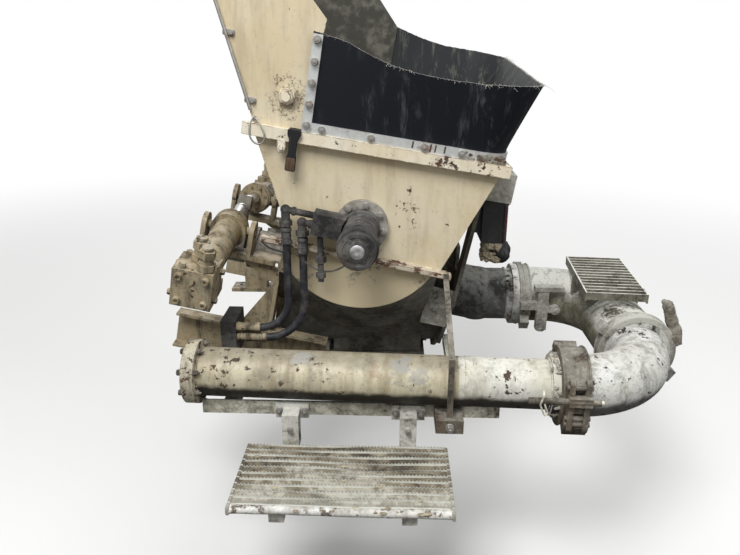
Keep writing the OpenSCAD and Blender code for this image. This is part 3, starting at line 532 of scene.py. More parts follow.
@dataclass(frozen=True)
class BareMetal:
    """Bare or thinly coated metal with stains and fine scratches."""

    name: str
    metal: Colour = (0.45, 0.46, 0.46)
    stain: Colour = (0.22, 0.20, 0.17)
    rust: Colour = (0.16, 0.07, 0.03)
    shine: float = 0.85
    rough: float = 0.42
    stained: float = 0.5
    rusty: float = 0.35
    cement: float = 0.3
    film: Colour = (0.42, 0.40, 0.36)

    def material(self) -> Material:
        """Metal colour with stains, rust at the edges and cement film.

        Returns:
            The material.
        """
        g = Graph(self.name)
        clouds = g.noise(18.0, 6.0, 0.65)
        fine = g.noise(140.0, 4.0, 0.6)
        stains = g.times(g.step(clouds, 0.42, 0.64), self.stained)
        g.colour = g.blend(stains, self.metal, self.stain)
        rust_field = g.plus(g.noise(30.0, 6.0, 0.7), g.times(g.edges(0.004), 0.12))
        rust = g.times(g.step(rust_field, 0.60, 0.70), self.rusty)
        g.cover(rust, self.rust)
        film = g.times(g.step(g.noise(42.0, 6.0, 0.7), 0.48, 0.7), self.cement)
        g.cover(film, self.film)
        cover = g.most(g.most(rust, film), g.times(stains, 0.6))
        metal = g.blend_value(cover, self.shine, 0.0)
        rough = g.blend_value(cover, self.rough, 0.85)
        height = g.plus(g.times(fine, 0.35), g.times(film, 0.6))
        return g.finish(rough, metal, height, 0.0007)


@dataclass(frozen=True)
class BeltRubber:
    """Black belt rubber with dusty rubs, scratches and splashes of cement."""

    name: str
    rubber: Colour = (0.0075, 0.0085, 0.012)
    dust: Colour = (0.16, 0.165, 0.17)
    cement: Colour = (0.40, 0.38, 0.34)
    dusty: float = 0.4
    splashed: float = 0.3
    rough: float = 0.6

    def material(self) -> Material:
        """Rubber colour with dust streaks, dry splashes and fine grain.

        Returns:
            The material.
        """
        g = Graph(self.name)
        streaks = g.noise(16.0, 7.0, 0.75, g.stretched((1.8, 1.8, 0.35)), warp=0.3)
        to_rear = g.times(g.step(g.axis("X"), 0.35, 0.75), 0.18)
        smears = g.plus(g.noise(4.0, 3.0, 0.5), to_rear)
        dust = g.times(g.step(streaks, 0.50, 0.72), g.step(smears, 0.45, 0.72))
        dust = g.times(dust, self.dusty)
        g.colour = g.blend(dust, self.rubber, self.dust)
        splash = g.plus(g.cells(70.0), g.times(g.noise(8.0, 5.0, 0.6), 0.8))
        level = 0.40 + 0.22 * self.splashed
        splash = g.times(g.step(splash, level, level - 0.08), min(1.0, 1.4 * self.splashed))
        g.cover(splash, self.cement)
        grain = g.noise(260.0, 3.0, 0.6)
        height = g.plus(g.times(grain, 0.3), splash)
        rough = g.blend_value(g.most(dust, splash), self.rough, 0.9)
        return g.finish(rough, 0.0, height, 0.0009, specular=0.15)


@dataclass(frozen=True)
class SmoothSkin:
    """A smooth moulded or polished skin: lens, chrome, hose cover or wire."""

    name: str
    colour: Colour
    rough: float
    metal: float = 0.0
    dirt: float = 0.3
    film: Colour = (0.30, 0.28, 0.24)
    coat: float = 0.0

    def material(self) -> Material:
        """Plain colour under a thin uneven film of dust.

        Returns:
            The material.
        """
        g = Graph(self.name)
        film = g.times(g.step(g.noise(35.0, 6.0, 0.65), 0.42, 0.72), self.dirt)
        g.colour = g.blend(film, self.colour, self.film)
        rough = g.blend_value(film, self.rough, 0.85)
        metal = g.blend_value(film, self.metal, 0.0)
        height = g.noise(180.0, 3.0)
        return g.finish(rough, metal, height, 0.0003, coat=self.coat)


def skin(finish: WornPaint | CementSkin | BareMetal | BeltRubber | SmoothSkin) -> Material:
    """A field that holds the material of one finish, made when the fields are filled."""
    return field(default_factory=finish.material)


@dataclass(frozen=True)
class Finishes:
    """Every finish of the unit, made once."""

    cream: Material = skin(WornPaint("cream_panel", hollow=(0.48, 0.0, 0.62)))
    cheek: Material = skin(WornPaint(
        "cream_cheek", chips=0.35, dirt=0.6, hollow=(0.48, 0.0, 0.8),
        patches=(
            Patch((0.293, -0.466, 0.883), 0.066, (0.07, 0.05, 0.03), 0.75, 0.7, True),
            Patch((0.293, -0.466, 0.88), 0.034, (0.08, 0.055, 0.03), 0.55, 0.6),
        ),
    ))
    cream_rough: Material = skin(WornPaint(
        "cream_rim", paint=(0.72, 0.63, 0.46), faded=(0.78, 0.72, 0.58), chips=0.95, dirt=0.45, spots=0.5,
        edge_wear=1.6, worse_from=0.5
    ))
    cream_pipe: Material = skin(WornPaint(
        "cream_pipe", paint=(0.61, 0.58, 0.475), faded=(0.69, 0.68, 0.61), film=(0.15, 0.13, 0.1),
        rust=(0.1, 0.06, 0.035), steel=(0.05, 0.045, 0.04), chips=1.1, dirt=0.85, spots=0.6, underside_dirt_and_shade=0.97,
        joined_at=0.775, mottled=0.4,
        patches=(
            Patch((0.343, -0.716, 0.202), 0.03, (0.33, 0.33, 0.31), 0.7, 1.6),
            Patch((0.612, -0.748, 0.193), 0.034, (0.3, 0.3, 0.28), 0.7, 1.8),
            Patch((0.66, -0.768, 0.172), 0.028, (0.31, 0.3, 0.27), 0.7, 1.8),
            Patch((0.549, -0.76, 0.18), 0.02, (0.26, 0.17, 0.1), 0.45, 1.7),
            Patch((0.752, -0.745, 0.18), 0.026, (0.16, 0.13, 0.1), 0.5, 1.2),
            Patch((0.238, -0.756, 0.165), 0.02, (0.26, 0.23, 0.17), 0.55, 1.1),
        ),
    ))
    # Dark paint and heavy film: grease and dirt, and also painted shade for the parts under the machine.
    greasy_shaded_cream: Material = skin(WornPaint(
        "greasy_shaded_cream", paint=(0.34, 0.275, 0.17), faded=(0.4, 0.335, 0.22), film=(0.045, 0.035, 0.025),
        chips=1.0, dirt=1.7, spots=0.2, underside_dirt_and_shade=0.8, mottled=0.5
    ))
    flange: Material = skin(WornPaint(
        "cream_flange", paint=(0.42, 0.37, 0.26), faded=(0.5, 0.46, 0.35), film=(0.06, 0.05, 0.04), chips=1.6,
        dirt=1.6
    ))
    elbow: Material = skin(WornPaint(
        "white_elbow", paint=(0.58, 0.57, 0.52), faded=(0.68, 0.68, 0.65), film=(0.11, 0.105, 0.075),
        rust=(0.1, 0.085, 0.07), steel=(0.045, 0.042, 0.04), chips=1.3, dirt=1.3, spots=0.8, underside_dirt_and_shade=0.85,
        mottled=0.55
    ))
    # Its strong, pale crown on upward faces is painted light.
    elbow_stained: Material = skin(CementSkin(
        "stained_elbow", pale=(0.28, 0.27, 0.205), mid=(0.155, 0.14, 0.1), dark=(0.065, 0.058, 0.04),
        cover=0.6, rusty=0.15, grain=75.0, top_light=0.9, crown=(0.8, 0.8, 0.73), blotted=0.5
    ))
    split: Material = skin(WornPaint(
        "peeling_split_bar", paint=(0.5, 0.43, 0.32), faded=(0.56, 0.5, 0.4), rust=(0.15, 0.07, 0.035),
        chips=1.9, dirt=1.2, spots=0.5, edge_wear=1.6
    ))
    trough: Material = skin(CementSkin(
        "stained_trough", pale=(0.22, 0.21, 0.18), mid=(0.145, 0.14, 0.115), dark=(0.065, 0.062, 0.05),
        cover=0.5, rusty=0.25, depth=0.0012, painted_ends=0.4585
    ))
    crust: Material = skin(CementSkin("cement_crust", cover=0.55, depth=0.004, grain=40.0))
    clamp: Material = skin(CementSkin(
        "clamp_casting", pale=(0.34, 0.32, 0.28), mid=(0.19, 0.175, 0.15), dark=(0.065, 0.058, 0.048),
        cover=0.5, rusty=0.35, depth=0.0016
    ))
    rusty_clamp: Material = skin(CementSkin(
        "rusty_clamp", pale=(0.26, 0.235, 0.19), mid=(0.13, 0.112, 0.086), dark=(0.05, 0.042, 0.033),
        cover=0.48, rusty=0.35, grain=85.0, top_light=0.15, depth=0.0018
    ))
    galvanised: Material = skin(BareMetal(
        "galvanised_strip", metal=(0.6, 0.62, 0.61), stain=(0.34, 0.33, 0.31), shine=0.6, rusty=0.6,
        cement=0.3
    ))
    bolt: Material = skin(BareMetal("bolt_steel", metal=(0.36, 0.35, 0.33), rusty=0.6, cement=0.4, rough=0.5))
    casting: Material = skin(CementSkin(
        "pale_casting", pale=(0.46, 0.45, 0.4), mid=(0.27, 0.26, 0.225), dark=(0.07, 0.065, 0.052), cover=0.6,
        rusty=0.2, depth=0.0014, grain=80.0, top_light=0.25
    ))
    bracket: Material = skin(CementSkin(
        "pale_bracket", pale=(0.62, 0.61, 0.55), mid=(0.4, 0.385, 0.33), dark=(0.09, 0.08, 0.065), cover=0.62,
        rusty=0.2, depth=0.0014, grain=80.0, top_light=0.3, blotted=0.3
    ))
    neck: Material = skin(CementSkin(
        "outlet_neck", pale=(0.23, 0.23, 0.22), mid=(0.135, 0.135, 0.13), dark=(0.05, 0.05, 0.047),
        top_light=0.3, beyond_x=1.012, beyond_by=3.4
    ))
    ring: Material = skin(CementSkin(
        "lever_clamp", pale=(0.46, 0.45, 0.4), mid=(0.27, 0.26, 0.225), dark=(0.07, 0.065, 0.052), cover=0.6,
        depth=0.0014, grain=80.0, top_light=0.25, beyond_x=1.452, beyond_by=0.6
    ))
    # Painted light: past X 0.8 the rail's colour is lightened 1.7 times, where the pipe's shadow falls on it.
    rail: Material = skin(CementSkin(
        "muddy_rail", pale=(0.6, 0.58, 0.48), mid=(0.36, 0.34, 0.27), dark=(0.075, 0.07, 0.055), cover=0.6,
        rusty=0.3, top_light=0.3, blotted=0.5, beyond_x=0.8, beyond_by=1.7
    ))
    alloy: Material = skin(BareMetal(
        "step_alloy", metal=(0.39, 0.385, 0.33), stain=(0.14, 0.135, 0.1), stained=1.0, rusty=0.15,
        cement=0.6, shine=0.2, rough=0.6
    ))
    # Its strong, pale crown on upward faces is painted light.
    grating: Material = skin(CementSkin(
        "elbow_grating", pale=(0.26, 0.25, 0.2), mid=(0.16, 0.15, 0.115), dark=(0.06, 0.056, 0.042),
        rusty=0.2, cover=0.6, depth=0.0012, top_light=0.95, crown=(0.74, 0.74, 0.68), worn_edges=0.6,
        blotted=0.2
    ))
    dark_paint: Material = skin(CementSkin(
        "dark_grease", pale=(0.13, 0.125, 0.115), mid=(0.055, 0.053, 0.05), dark=(0.018, 0.018, 0.018),
        cover=0.45, rusty=0.15, depth=0.001
    ))
    rubber: Material = skin(BeltRubber("belt_rubber", dusty=0.55, splashed=0.0))
    lined_rubber: Material = skin(BeltRubber(
        "lined_belt", rubber=(0.03, 0.032, 0.034), dust=(0.18, 0.18, 0.15), dusty=1.0, splashed=0.2
    ))
    lamp_black: Material = skin(SmoothSkin("lamp_black", (0.006, 0.006, 0.009), 0.55, dirt=0.06))
    hose: Material = skin(SmoothSkin("hose_cover", (0.009, 0.01, 0.015), 0.6, dirt=0.2))
    lens: Material = skin(SmoothSkin("red_lens", (0.12, 0.006, 0.008), 0.3, dirt=0.35, coat=0.3))
    chrome: Material = skin(SmoothSkin("chromed_rod", (0.46, 0.46, 0.46), 0.22, 1.0, dirt=0.3))
    bright: Material = skin(SmoothSkin("bright_cap", (0.55, 0.55, 0.56), 0.3, 1.0, dirt=0.45))
    fray: Material = skin(BeltRubber(
        "cut_belt_edge", rubber=(0.1, 0.095, 0.085), dust=(0.45, 0.43, 0.38), dusty=1.0, splashed=0.9
    ))
    thread: Material = skin(SmoothSkin("pale_thread", (0.46, 0.44, 0.39), 0.9, dirt=0.4))
    old_rubber: Material = skin(BeltRubber(
        "old_rubber", rubber=(0.018, 0.018, 0.018), dusty=0.6, splashed=0.15
    ))
    dark_rust: Material = skin(CementSkin(
        "dark_rust", pale=(0.17, 0.12, 0.085), mid=(0.085, 0.05, 0.035), dark=(0.035, 0.024, 0.02),
        cover=0.45, rusty=0.6, depth=0.001
    ))
    mud: Material = skin(CementSkin(
        "dry_mud", pale=(0.42, 0.37, 0.27), mid=(0.27, 0.23, 0.16), dark=(0.12, 0.1, 0.07), cover=0.6,
        depth=0.003
    ))
    step_skin: Material = skin(CementSkin(
        "step_planks", pale=(0.4, 0.38, 0.315), mid=(0.185, 0.16, 0.115), dark=(0.055, 0.048, 0.035),
        cover=0.58, rusty=0.2, depth=0.0012, rows_from=-1.075, row=0.285 / 11, worn_edges=0.7, blotted=0.25
    ))
    step_lip: Material = skin(WornPaint(
        "white_step_lip", paint=(0.62, 0.61, 0.56), faded=(0.7, 0.7, 0.66), film=(0.2, 0.17, 0.13),
        rust=(0.2, 0.15, 0.11), steel=(0.13, 0.12, 0.11), mottled=0.45, chips=1.9, dirt=1.3, spots=0.5
    ))


NODES_BY_FINISH: dict[str, str] = {
    "cream": "hopper_tub",
    "trough": "hopper_trough rear_plate clean_out_door",
    "greasy_shaded_cream": "front_plate carry_rails rail_feet "
    "hopper_feet shift_brackets near_shift_barrel far_shift_barrel",
    "split": "split_bars",
    "cream_rough": "rim_frame grate_pins",
    "cheek": "side_cheeks splash_back",
    "rubber": "splash_guard draw_latch",
    "galvanised": "guard_strips",
    "casting": "rear_frame outlet_clamp",
    "lamp_black": "lamp_boxes",
    "lens": "lamp_lenses",
    "clamp": "motor_flange far_bearing valve_bearing crank_lever door_latch",
    "dark_paint": "agitator_motor hose_fittings",
    "crust": "agitator_shaft agitator_paddles hopper_grate s_tube",
    "chrome": "near_shift_rod far_shift_rod",
    "neck": "outlet_neck",
    "elbow_stained": "first_elbow",
    "ring": "middle_clamp",
    "elbow": "second_elbow",
    "rusty_clamp": "pipe_clamp hanger_strap",
    "cream_pipe": "delivery_pipe",
    "flange": "pipe_end_flange",
    "grating": "elbow_step",
    "rail": "pipe_rail rail_arms",
    "bracket": "step_brackets",
    "alloy": "step_tread",
    "hose": "drain_hoses",
}
NODE_FINISHES = {
    node: finish for finish, nodes in NODES_BY_FINISH.items() for node in nodes.split()
}


def dress_nodes(nodes: dict[str, bpy.types.Object], finishes: Finishes) -> None:
    """Gives every CAD node its finish.

    Args:
        nodes: Node objects by name.
        finishes: The unit's materials.
    """
    for name, node in nodes.items():
        material = getattr(finishes, NODE_FINISHES[name])
        for slot in node.material_slots:
            slot.material = material
        log.info("dressed %s", name)


class Slot(Enum):
    """Material slots of the record, one given with each small part."""

    CREAM = "cream_paint"
    CONCRETE = "concrete_skin"
    CAST = "cast_grey"
    DARK = "dark_steel"
    ZINC = "galvanised"
    RUBBER = "black_rubber"
    RUSTY = "rusty_steel"
    LENS = "red_lens"


def basis(axis: Array) -> tuple[Array, Array, Array]:
    """Three unit directions at right angles, the last one along the axis."""
    along = np.asarray(axis, float) / np.linalg.norm(axis)
    helper = UP if abs(along[2]) < 0.9 else REAR
    side = np.cross(helper, along)
    side /= np.linalg.norm(side)
    return side, np.cross(along, side), along


def ripple(points: Array, seed: int, octaves: int = 3) -> Array:
    """Smooth noise of about -1 to 1: a sum of plane waves in random directions.

    Args:
        points: Array whose last axis is x, y and z, in units of the first wave's length.
        seed: Seed of the directions and phases.
        octaves: Each octave has half the length and half the height of the one before.

    Returns:
        One value for each point.
    """
    rng = np.random.default_rng(seed)
    total = np.zeros(points.shape[:-1])
    for octave in range(octaves):
        waves = rng.normal(size=(5, 3))
        waves /= np.linalg.norm(waves, axis=1, keepdims=True)
        phases = rng.uniform(0, TURN, 5)
        angles = points @ (waves.T * TURN * 2**octave) + phases
        total += np.sin(angles).sum(axis=-1) / 5 / 2**octave
    return total * 1.6


def rounded(corners: list[tuple[float, float]], radius: float, steps: int) -> Array:
    """A flat outline with each corner replaced by a short curve.

    Args:
        corners: Corner points in order.
        radius: Distance from a corner at which its curve starts.
        steps: Segments of each curve.

    Returns:
        The points, as a quadratic curve P = (1-t)^2 A + 2t(1-t) B + t^2 C at each corner.
    """
    ring = np.array(corners, float)
    points = []
    for i, corner in enumerate(ring):
        before, after = ring[i - 1] - corner, ring[(i + 1) % len(ring)] - corner
        start = corner + before * min(radius / np.linalg.norm(before), 0.45)
        end = corner + after * min(radius / np.linalg.norm(after), 0.45)
        for t in np.linspace(0, 1, steps + 1):
            points.append((1 - t) ** 2 * start + 2 * t * (1 - t) * corner + t**2 * end)
    return np.array(points)


def panel(low: tuple[float, float], high: tuple[float, float], radius: float, steps: int) -> Array:
    """A rounded rectangle between two corners."""
    corners = [low, (high[0], low[1]), high, (low[0], high[1])]
    return rounded(corners, radius, steps)


def spokes(count: int, radius: float, start: float = 0.0) -> list[tuple[float, float]]:
    """Points evenly spaced on a circle, as radius times cosine and sine, from a first angle on."""
    angles = [start + k * TURN / count for k in range(count)]
    return [(radius * math.cos(a), radius * math.sin(a)) for a in angles]


def hoop(centre: Colour, radius: float, axis: int = 0, count: int = 96) -> Array:
    """Points of a closed circle about the X axis, or about the Y axis if the axis is 1."""
    angles = np.linspace(0, TURN, count + 1)
    ring = np.tile(np.array(centre, float), (count + 1, 1))
    ring[:, 1 - axis] += radius * np.cos(angles)
    ring[:, 2] += radius * np.sin(angles)
    return ring


def smooth_path(points: list[Colour], count: int) -> Array:
    """A Catmull-Rom curve through the points, as a number of points."""
    knots = np.array(points, float)
    knots = np.vstack((2 * knots[0] - knots[1], knots, 2 * knots[-1] - knots[-2]))
    spans = len(knots) - 3
    result = []
    for value in np.linspace(0, spans - 1e-9, count):
        i = int(value)
        t = value - i
        a, b, c, d = knots[i : i + 4]
        result.append(
            0.5 * (2 * b + (c - a) * t + (2 * a - 5 * b + 4 * c - d) * t**2 + (3 * b - a - 3 * c + d) * t**3)
        )
    return np.array(result)


class Shell:
    """Collects the points and faces of one piece, then makes its object."""

    def __init__(self) -> None:
        """Starts with nothing."""
        self.points: list[Array] = []
        self.faces: list[tuple[int, ...]] = []
        self.tags: list[int] = []
        self.count = 0

    def add(self, points: Array, faces: list[tuple[int, ...]], tag: int = 0) -> None:
        """Adds points and the faces between them, with the finish of that number."""
        flat = np.asarray(points, float).reshape(-1, 3)
        self.points.append(flat)
        self.faces.extend(tuple(i + self.count for i in face) for face in faces)
        self.tags.extend([tag] * len(faces))
        self.count += len(flat)

    def grid(self, rows: Array, wrap: bool = False, tag: int = 0, capped: bool = False) -> None:
        """Quads between rows of points.

        Args:
            rows: Array of rows by columns by 3.
            wrap: Whether each row closes into a ring.
            tag: Number of the finish.
            capped: Whether the first and the last ring are closed with a face.
        """
        n, m = rows.shape[:2]
        i, j = np.meshgrid(np.arange(n - 1), np.arange(m if wrap else m - 1), indexing="ij")
        a, b = i * m + j, i * m + (j + 1) % m
        quads = np.stack((a, b, b + m, a + m), axis=-1).reshape(-1, 4)
        faces = [tuple(quad) for quad in quads.tolist()]
        if capped:
            faces.append(tuple(range(m))[::-1])
            faces.append(tuple(range((n - 1) * m, n * m)))
        self.add(rows, faces, tag)

    def tube(self, path: Array, radius: float | Array, sides: int, tag: int = 0) -> None:
        """A round tube along a path.

        Args:
            path: Points of the centre line.
            radius: Its radius, or one for each point.
            sides: Sides of the section.
            tag: Number of the finish.

        The section's direction is carried along without twist: n' = n - (n.t) t.
        """
        tangent = np.gradient(path, axis=0)
        tangent /= np.linalg.norm(tangent, axis=1, keepdims=True)
        normal = basis(tangent[0])[0]
        radii = np.broadcast_to(radius, (len(path),))
        angles = np.linspace(0, TURN, sides, endpoint=False)
        rows = []
        for point, along, size in zip(path, tangent, radii):
            normal = normal - normal.dot(along) * along
            normal /= np.linalg.norm(normal)
            other = np.cross(along, normal)
            rows.append(point + size * (np.outer(np.cos(angles), normal) + np.outer(np.sin(angles), other)))
        self.grid(np.array(rows), wrap=True, tag=tag, capped=True)

    def lathe(
        self,
        profile: list[tuple[float, float]],
        centre: Array,
        axis: Array,
        sides: int,
        tag: int = 0,
        hexagon: tuple[bool, ...] = (),
    ) -> None:
        """Turns a profile about an axis and closes both ends.

        Args:
            profile: Pairs of distance along the axis and radius.
            centre: Where the distance is 0.
            axis: Direction of the axis.
            sides: Sides of the section.
            tag: Number of the finish.
            hexagon: For each pair, whether its ring is a hexagon with that inner radius.
        """
        side, up, along = basis(axis)
        angles = np.linspace(0, TURN, sides, endpoint=False)
        hex_factor = 1 / np.cos(np.mod(angles, math.pi / 3) - math.pi / 6)
        rows = []
        for k, (distance, radius) in enumerate(profile):
            factor = hex_factor if k < len(hexagon) and hexagon[k] else 1.0
            ring = np.outer(np.cos(angles) * factor, side) + np.outer(np.sin(angles) * factor, up)
            rows.append(np.asarray(centre) + along * distance + ring * max(radius, 1e-5))
        self.grid(np.array(rows), wrap=True, tag=tag, capped=True)

    def bolt(self, centre: Array, axis: Array, across: float, stud: float = 0.0) -> None:
        """A hexagon bolt head with a chamfer on a washer, and a stud through it if asked.

        Args:
            centre: Where it meets the surface.
            axis: Direction away from the surface.
            across: Width across flats.
            stud: Height of the stud over the head.
        """
        half, washer, sunk = across / 2, 0.14 * across, 0.0015
        foot = np.asarray(centre) - sunk * basis(axis)[2]
        seat = sunk + washer
        disc = [(0, 1.2 * half), (sunk + 0.7 * washer, 1.2 * half), (seat, 1.1 * half)]
        self.lathe(disc, foot, axis, 24)
        low, high = seat - 0.0003, seat + 0.62 * across
        head = [(low, half), (high - 0.12 * across, half), (high, 0.94 * half), (high, 0.5 * half)]
        self.lathe(head, foot, axis, 24, hexagon=(True, True, False, False))
        if stud:
            end = high + stud
            thread = [(high - 0.001, 0.5 * half), (end - 0.001, 0.5 * half), (end, 0.4 * half)]
            self.lathe(thread, foot, axis, 14)

    def pin(
        self,
        centre: Array,
        axis: Array,
        half: float,
        radius: float,
        bevel: tuple[float, float],
        sides: int = 20,
        tag: int = 0,
    ) -> None:
        """A pin or disc with bevelled ends.

        Args:
            centre: Its middle.
            axis: Direction of its axis.
            half: Half its length.
            radius: Its radius.
            bevel: The bevel along the axis and across it.
            sides: Sides of the section.
            tag: Number of the finish.
        """
        long, end = half - bevel[0], radius - bevel[1]
        self.lathe([(-half, end), (-long, radius), (long, radius), (half, end)], centre, axis, sides, tag)

    def socket_screw(self, centre: Array, axis: Array, radius: float) -> None:
        """A cap screw with its hexagon socket."""
        r = radius
        profile = [(-0.001, r), (0.85 * r, r), (r, 0.88 * r), (r, 0.5 * r), (0.45 * r, 0.5 * r)]
        self.lathe(profile, centre, axis, 18, hexagon=(False, False, False, True, True))

    def lump(
        self, centre: Array, size: Colour, seed: int, rough: float = 0.3, rings: int = 8, tag: int = 0
    ) -> None:
        """A closed crumb: a sphere whose radius follows smooth noise.

        Args:
            centre: Its middle.
            size: Half sizes along x, y and z.
            seed: Seed of its noise.
            rough: Height of the noise as a share of the radius.
            rings: Rings from pole to pole.
            tag: Number of the finish.
        """
        polar = np.linspace(0.06, math.pi - 0.06, rings)
        around = np.linspace(0, TURN, 2 * rings, endpoint=False)
        p, a = np.meshgrid(polar, around, indexing="ij")
        unit = np.stack((np.sin(p) * np.cos(a), np.sin(p) * np.sin(a), np.cos(p)), axis=-1)
        radius = 1 + rough * ripple(unit * 0.55, seed)
        rows = np.asarray(centre) + unit * radius[..., None] * np.array(size)
        self.grid(rows, wrap=True, tag=tag, capped=True)

    def crumb(
        self,
        centre: Array,
        rng: np.random.Generator,
        sizes: tuple[float, float],
        shape: Colour,
        seed: int,
        tag: int = 0,
        odd: float = 0.0,
    ) -> None:
        """A small rough lump of a random size.

        Args:
            centre: Its middle.
            rng: Where the size, then the choice of the finish, are drawn from.
            sizes: The smallest and the largest size.
            shape: Half sizes along x, y and z, as shares of the size.
            seed: Seed of its noise.
            tag: Number of the finish.
            odd: Share of the crumbs that take the second finish.
        """
        size = rng.uniform(*sizes) * np.array(shape)
        if odd:
            tag = int(rng.uniform() < odd)
        self.lump(centre, tuple(size), seed, 0.35, 6, tag)

    def slab(
        self, outline: Array, place: Callable[[Array], Array], low: float, high: float, tag: int = 0
    ) -> None:
        """A flat plate with softened edges.

        Args:
            outline: Its outline, in order, as two numbers a point.
            place: Turns points of outline and thickness, x, y and z, into the unit's frame.
            low: Where it starts along the thickness.
            high: Where it ends.
            tag: Number of the finish.
        """
        soft = min(0.0015, 0.3 * (high - low))
        before, after = np.roll(outline, 1, axis=0), np.roll(outline, -1, axis=0)
        edge = after - before
        edge /= np.linalg.norm(edge, axis=1, keepdims=True) + 1e-12
        inward = np.stack((-edge[:, 1], edge[:, 0]), axis=1)
        area = np.sum(outline[:, 0] * np.roll(outline[:, 1], -1) - np.roll(outline[:, 0], -1) * outline[:, 1])
        inset = outline + inward * soft * (1 if area > 0 else -1)
        rows = []
        for ring, level in ((inset, low), (outline, low + soft), (outline, high - soft), (inset, high)):
            rows.append(place(np.column_stack((ring, np.full(len(ring), level)))))
        self.grid(np.array(rows), wrap=True, tag=tag, capped=True)

    def piece(
        self,
        name: str,
        slot: Slot,
        *materials: Material,
        body: Body = Body.UNIT,
        sharp: float = 38.0,
    ) -> bpy.types.Object:
        """Makes the object, smooth up to the given angle, and sets it on its body.

        Args:
            name: Name of the piece.
            slot: The record's material slot; not used.
            materials: Its finishes, by tag.
            body: The body that it rides on.
            sharp: Edges above this angle, in degrees, stay sharp.

        Returns:
            The object.
        """
        mesh = bpy.data.meshes.new(name)
        mesh.from_pydata(np.concatenate(self.points).tolist(), [], self.faces)
        for material in materials:
            mesh.materials.append(material)
        mesh.polygons.foreach_set("material_index", self.tags)
        work = bmesh.new()
        work.from_mesh(mesh)
        bmesh.ops.recalc_face_normals(work, faces=work.faces)
        work.to_mesh(mesh)
        work.free()
        mesh.shade_smooth()
        mesh.set_sharp_from_angle(angle=math.radians(sharp))
        made = bpy.data.objects.new(name, mesh)
        bpy.context.scene.collection.objects.link(made)
        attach(made, body.value)
        log.info("made %s: %d faces", name, len(self.faces))
        return made


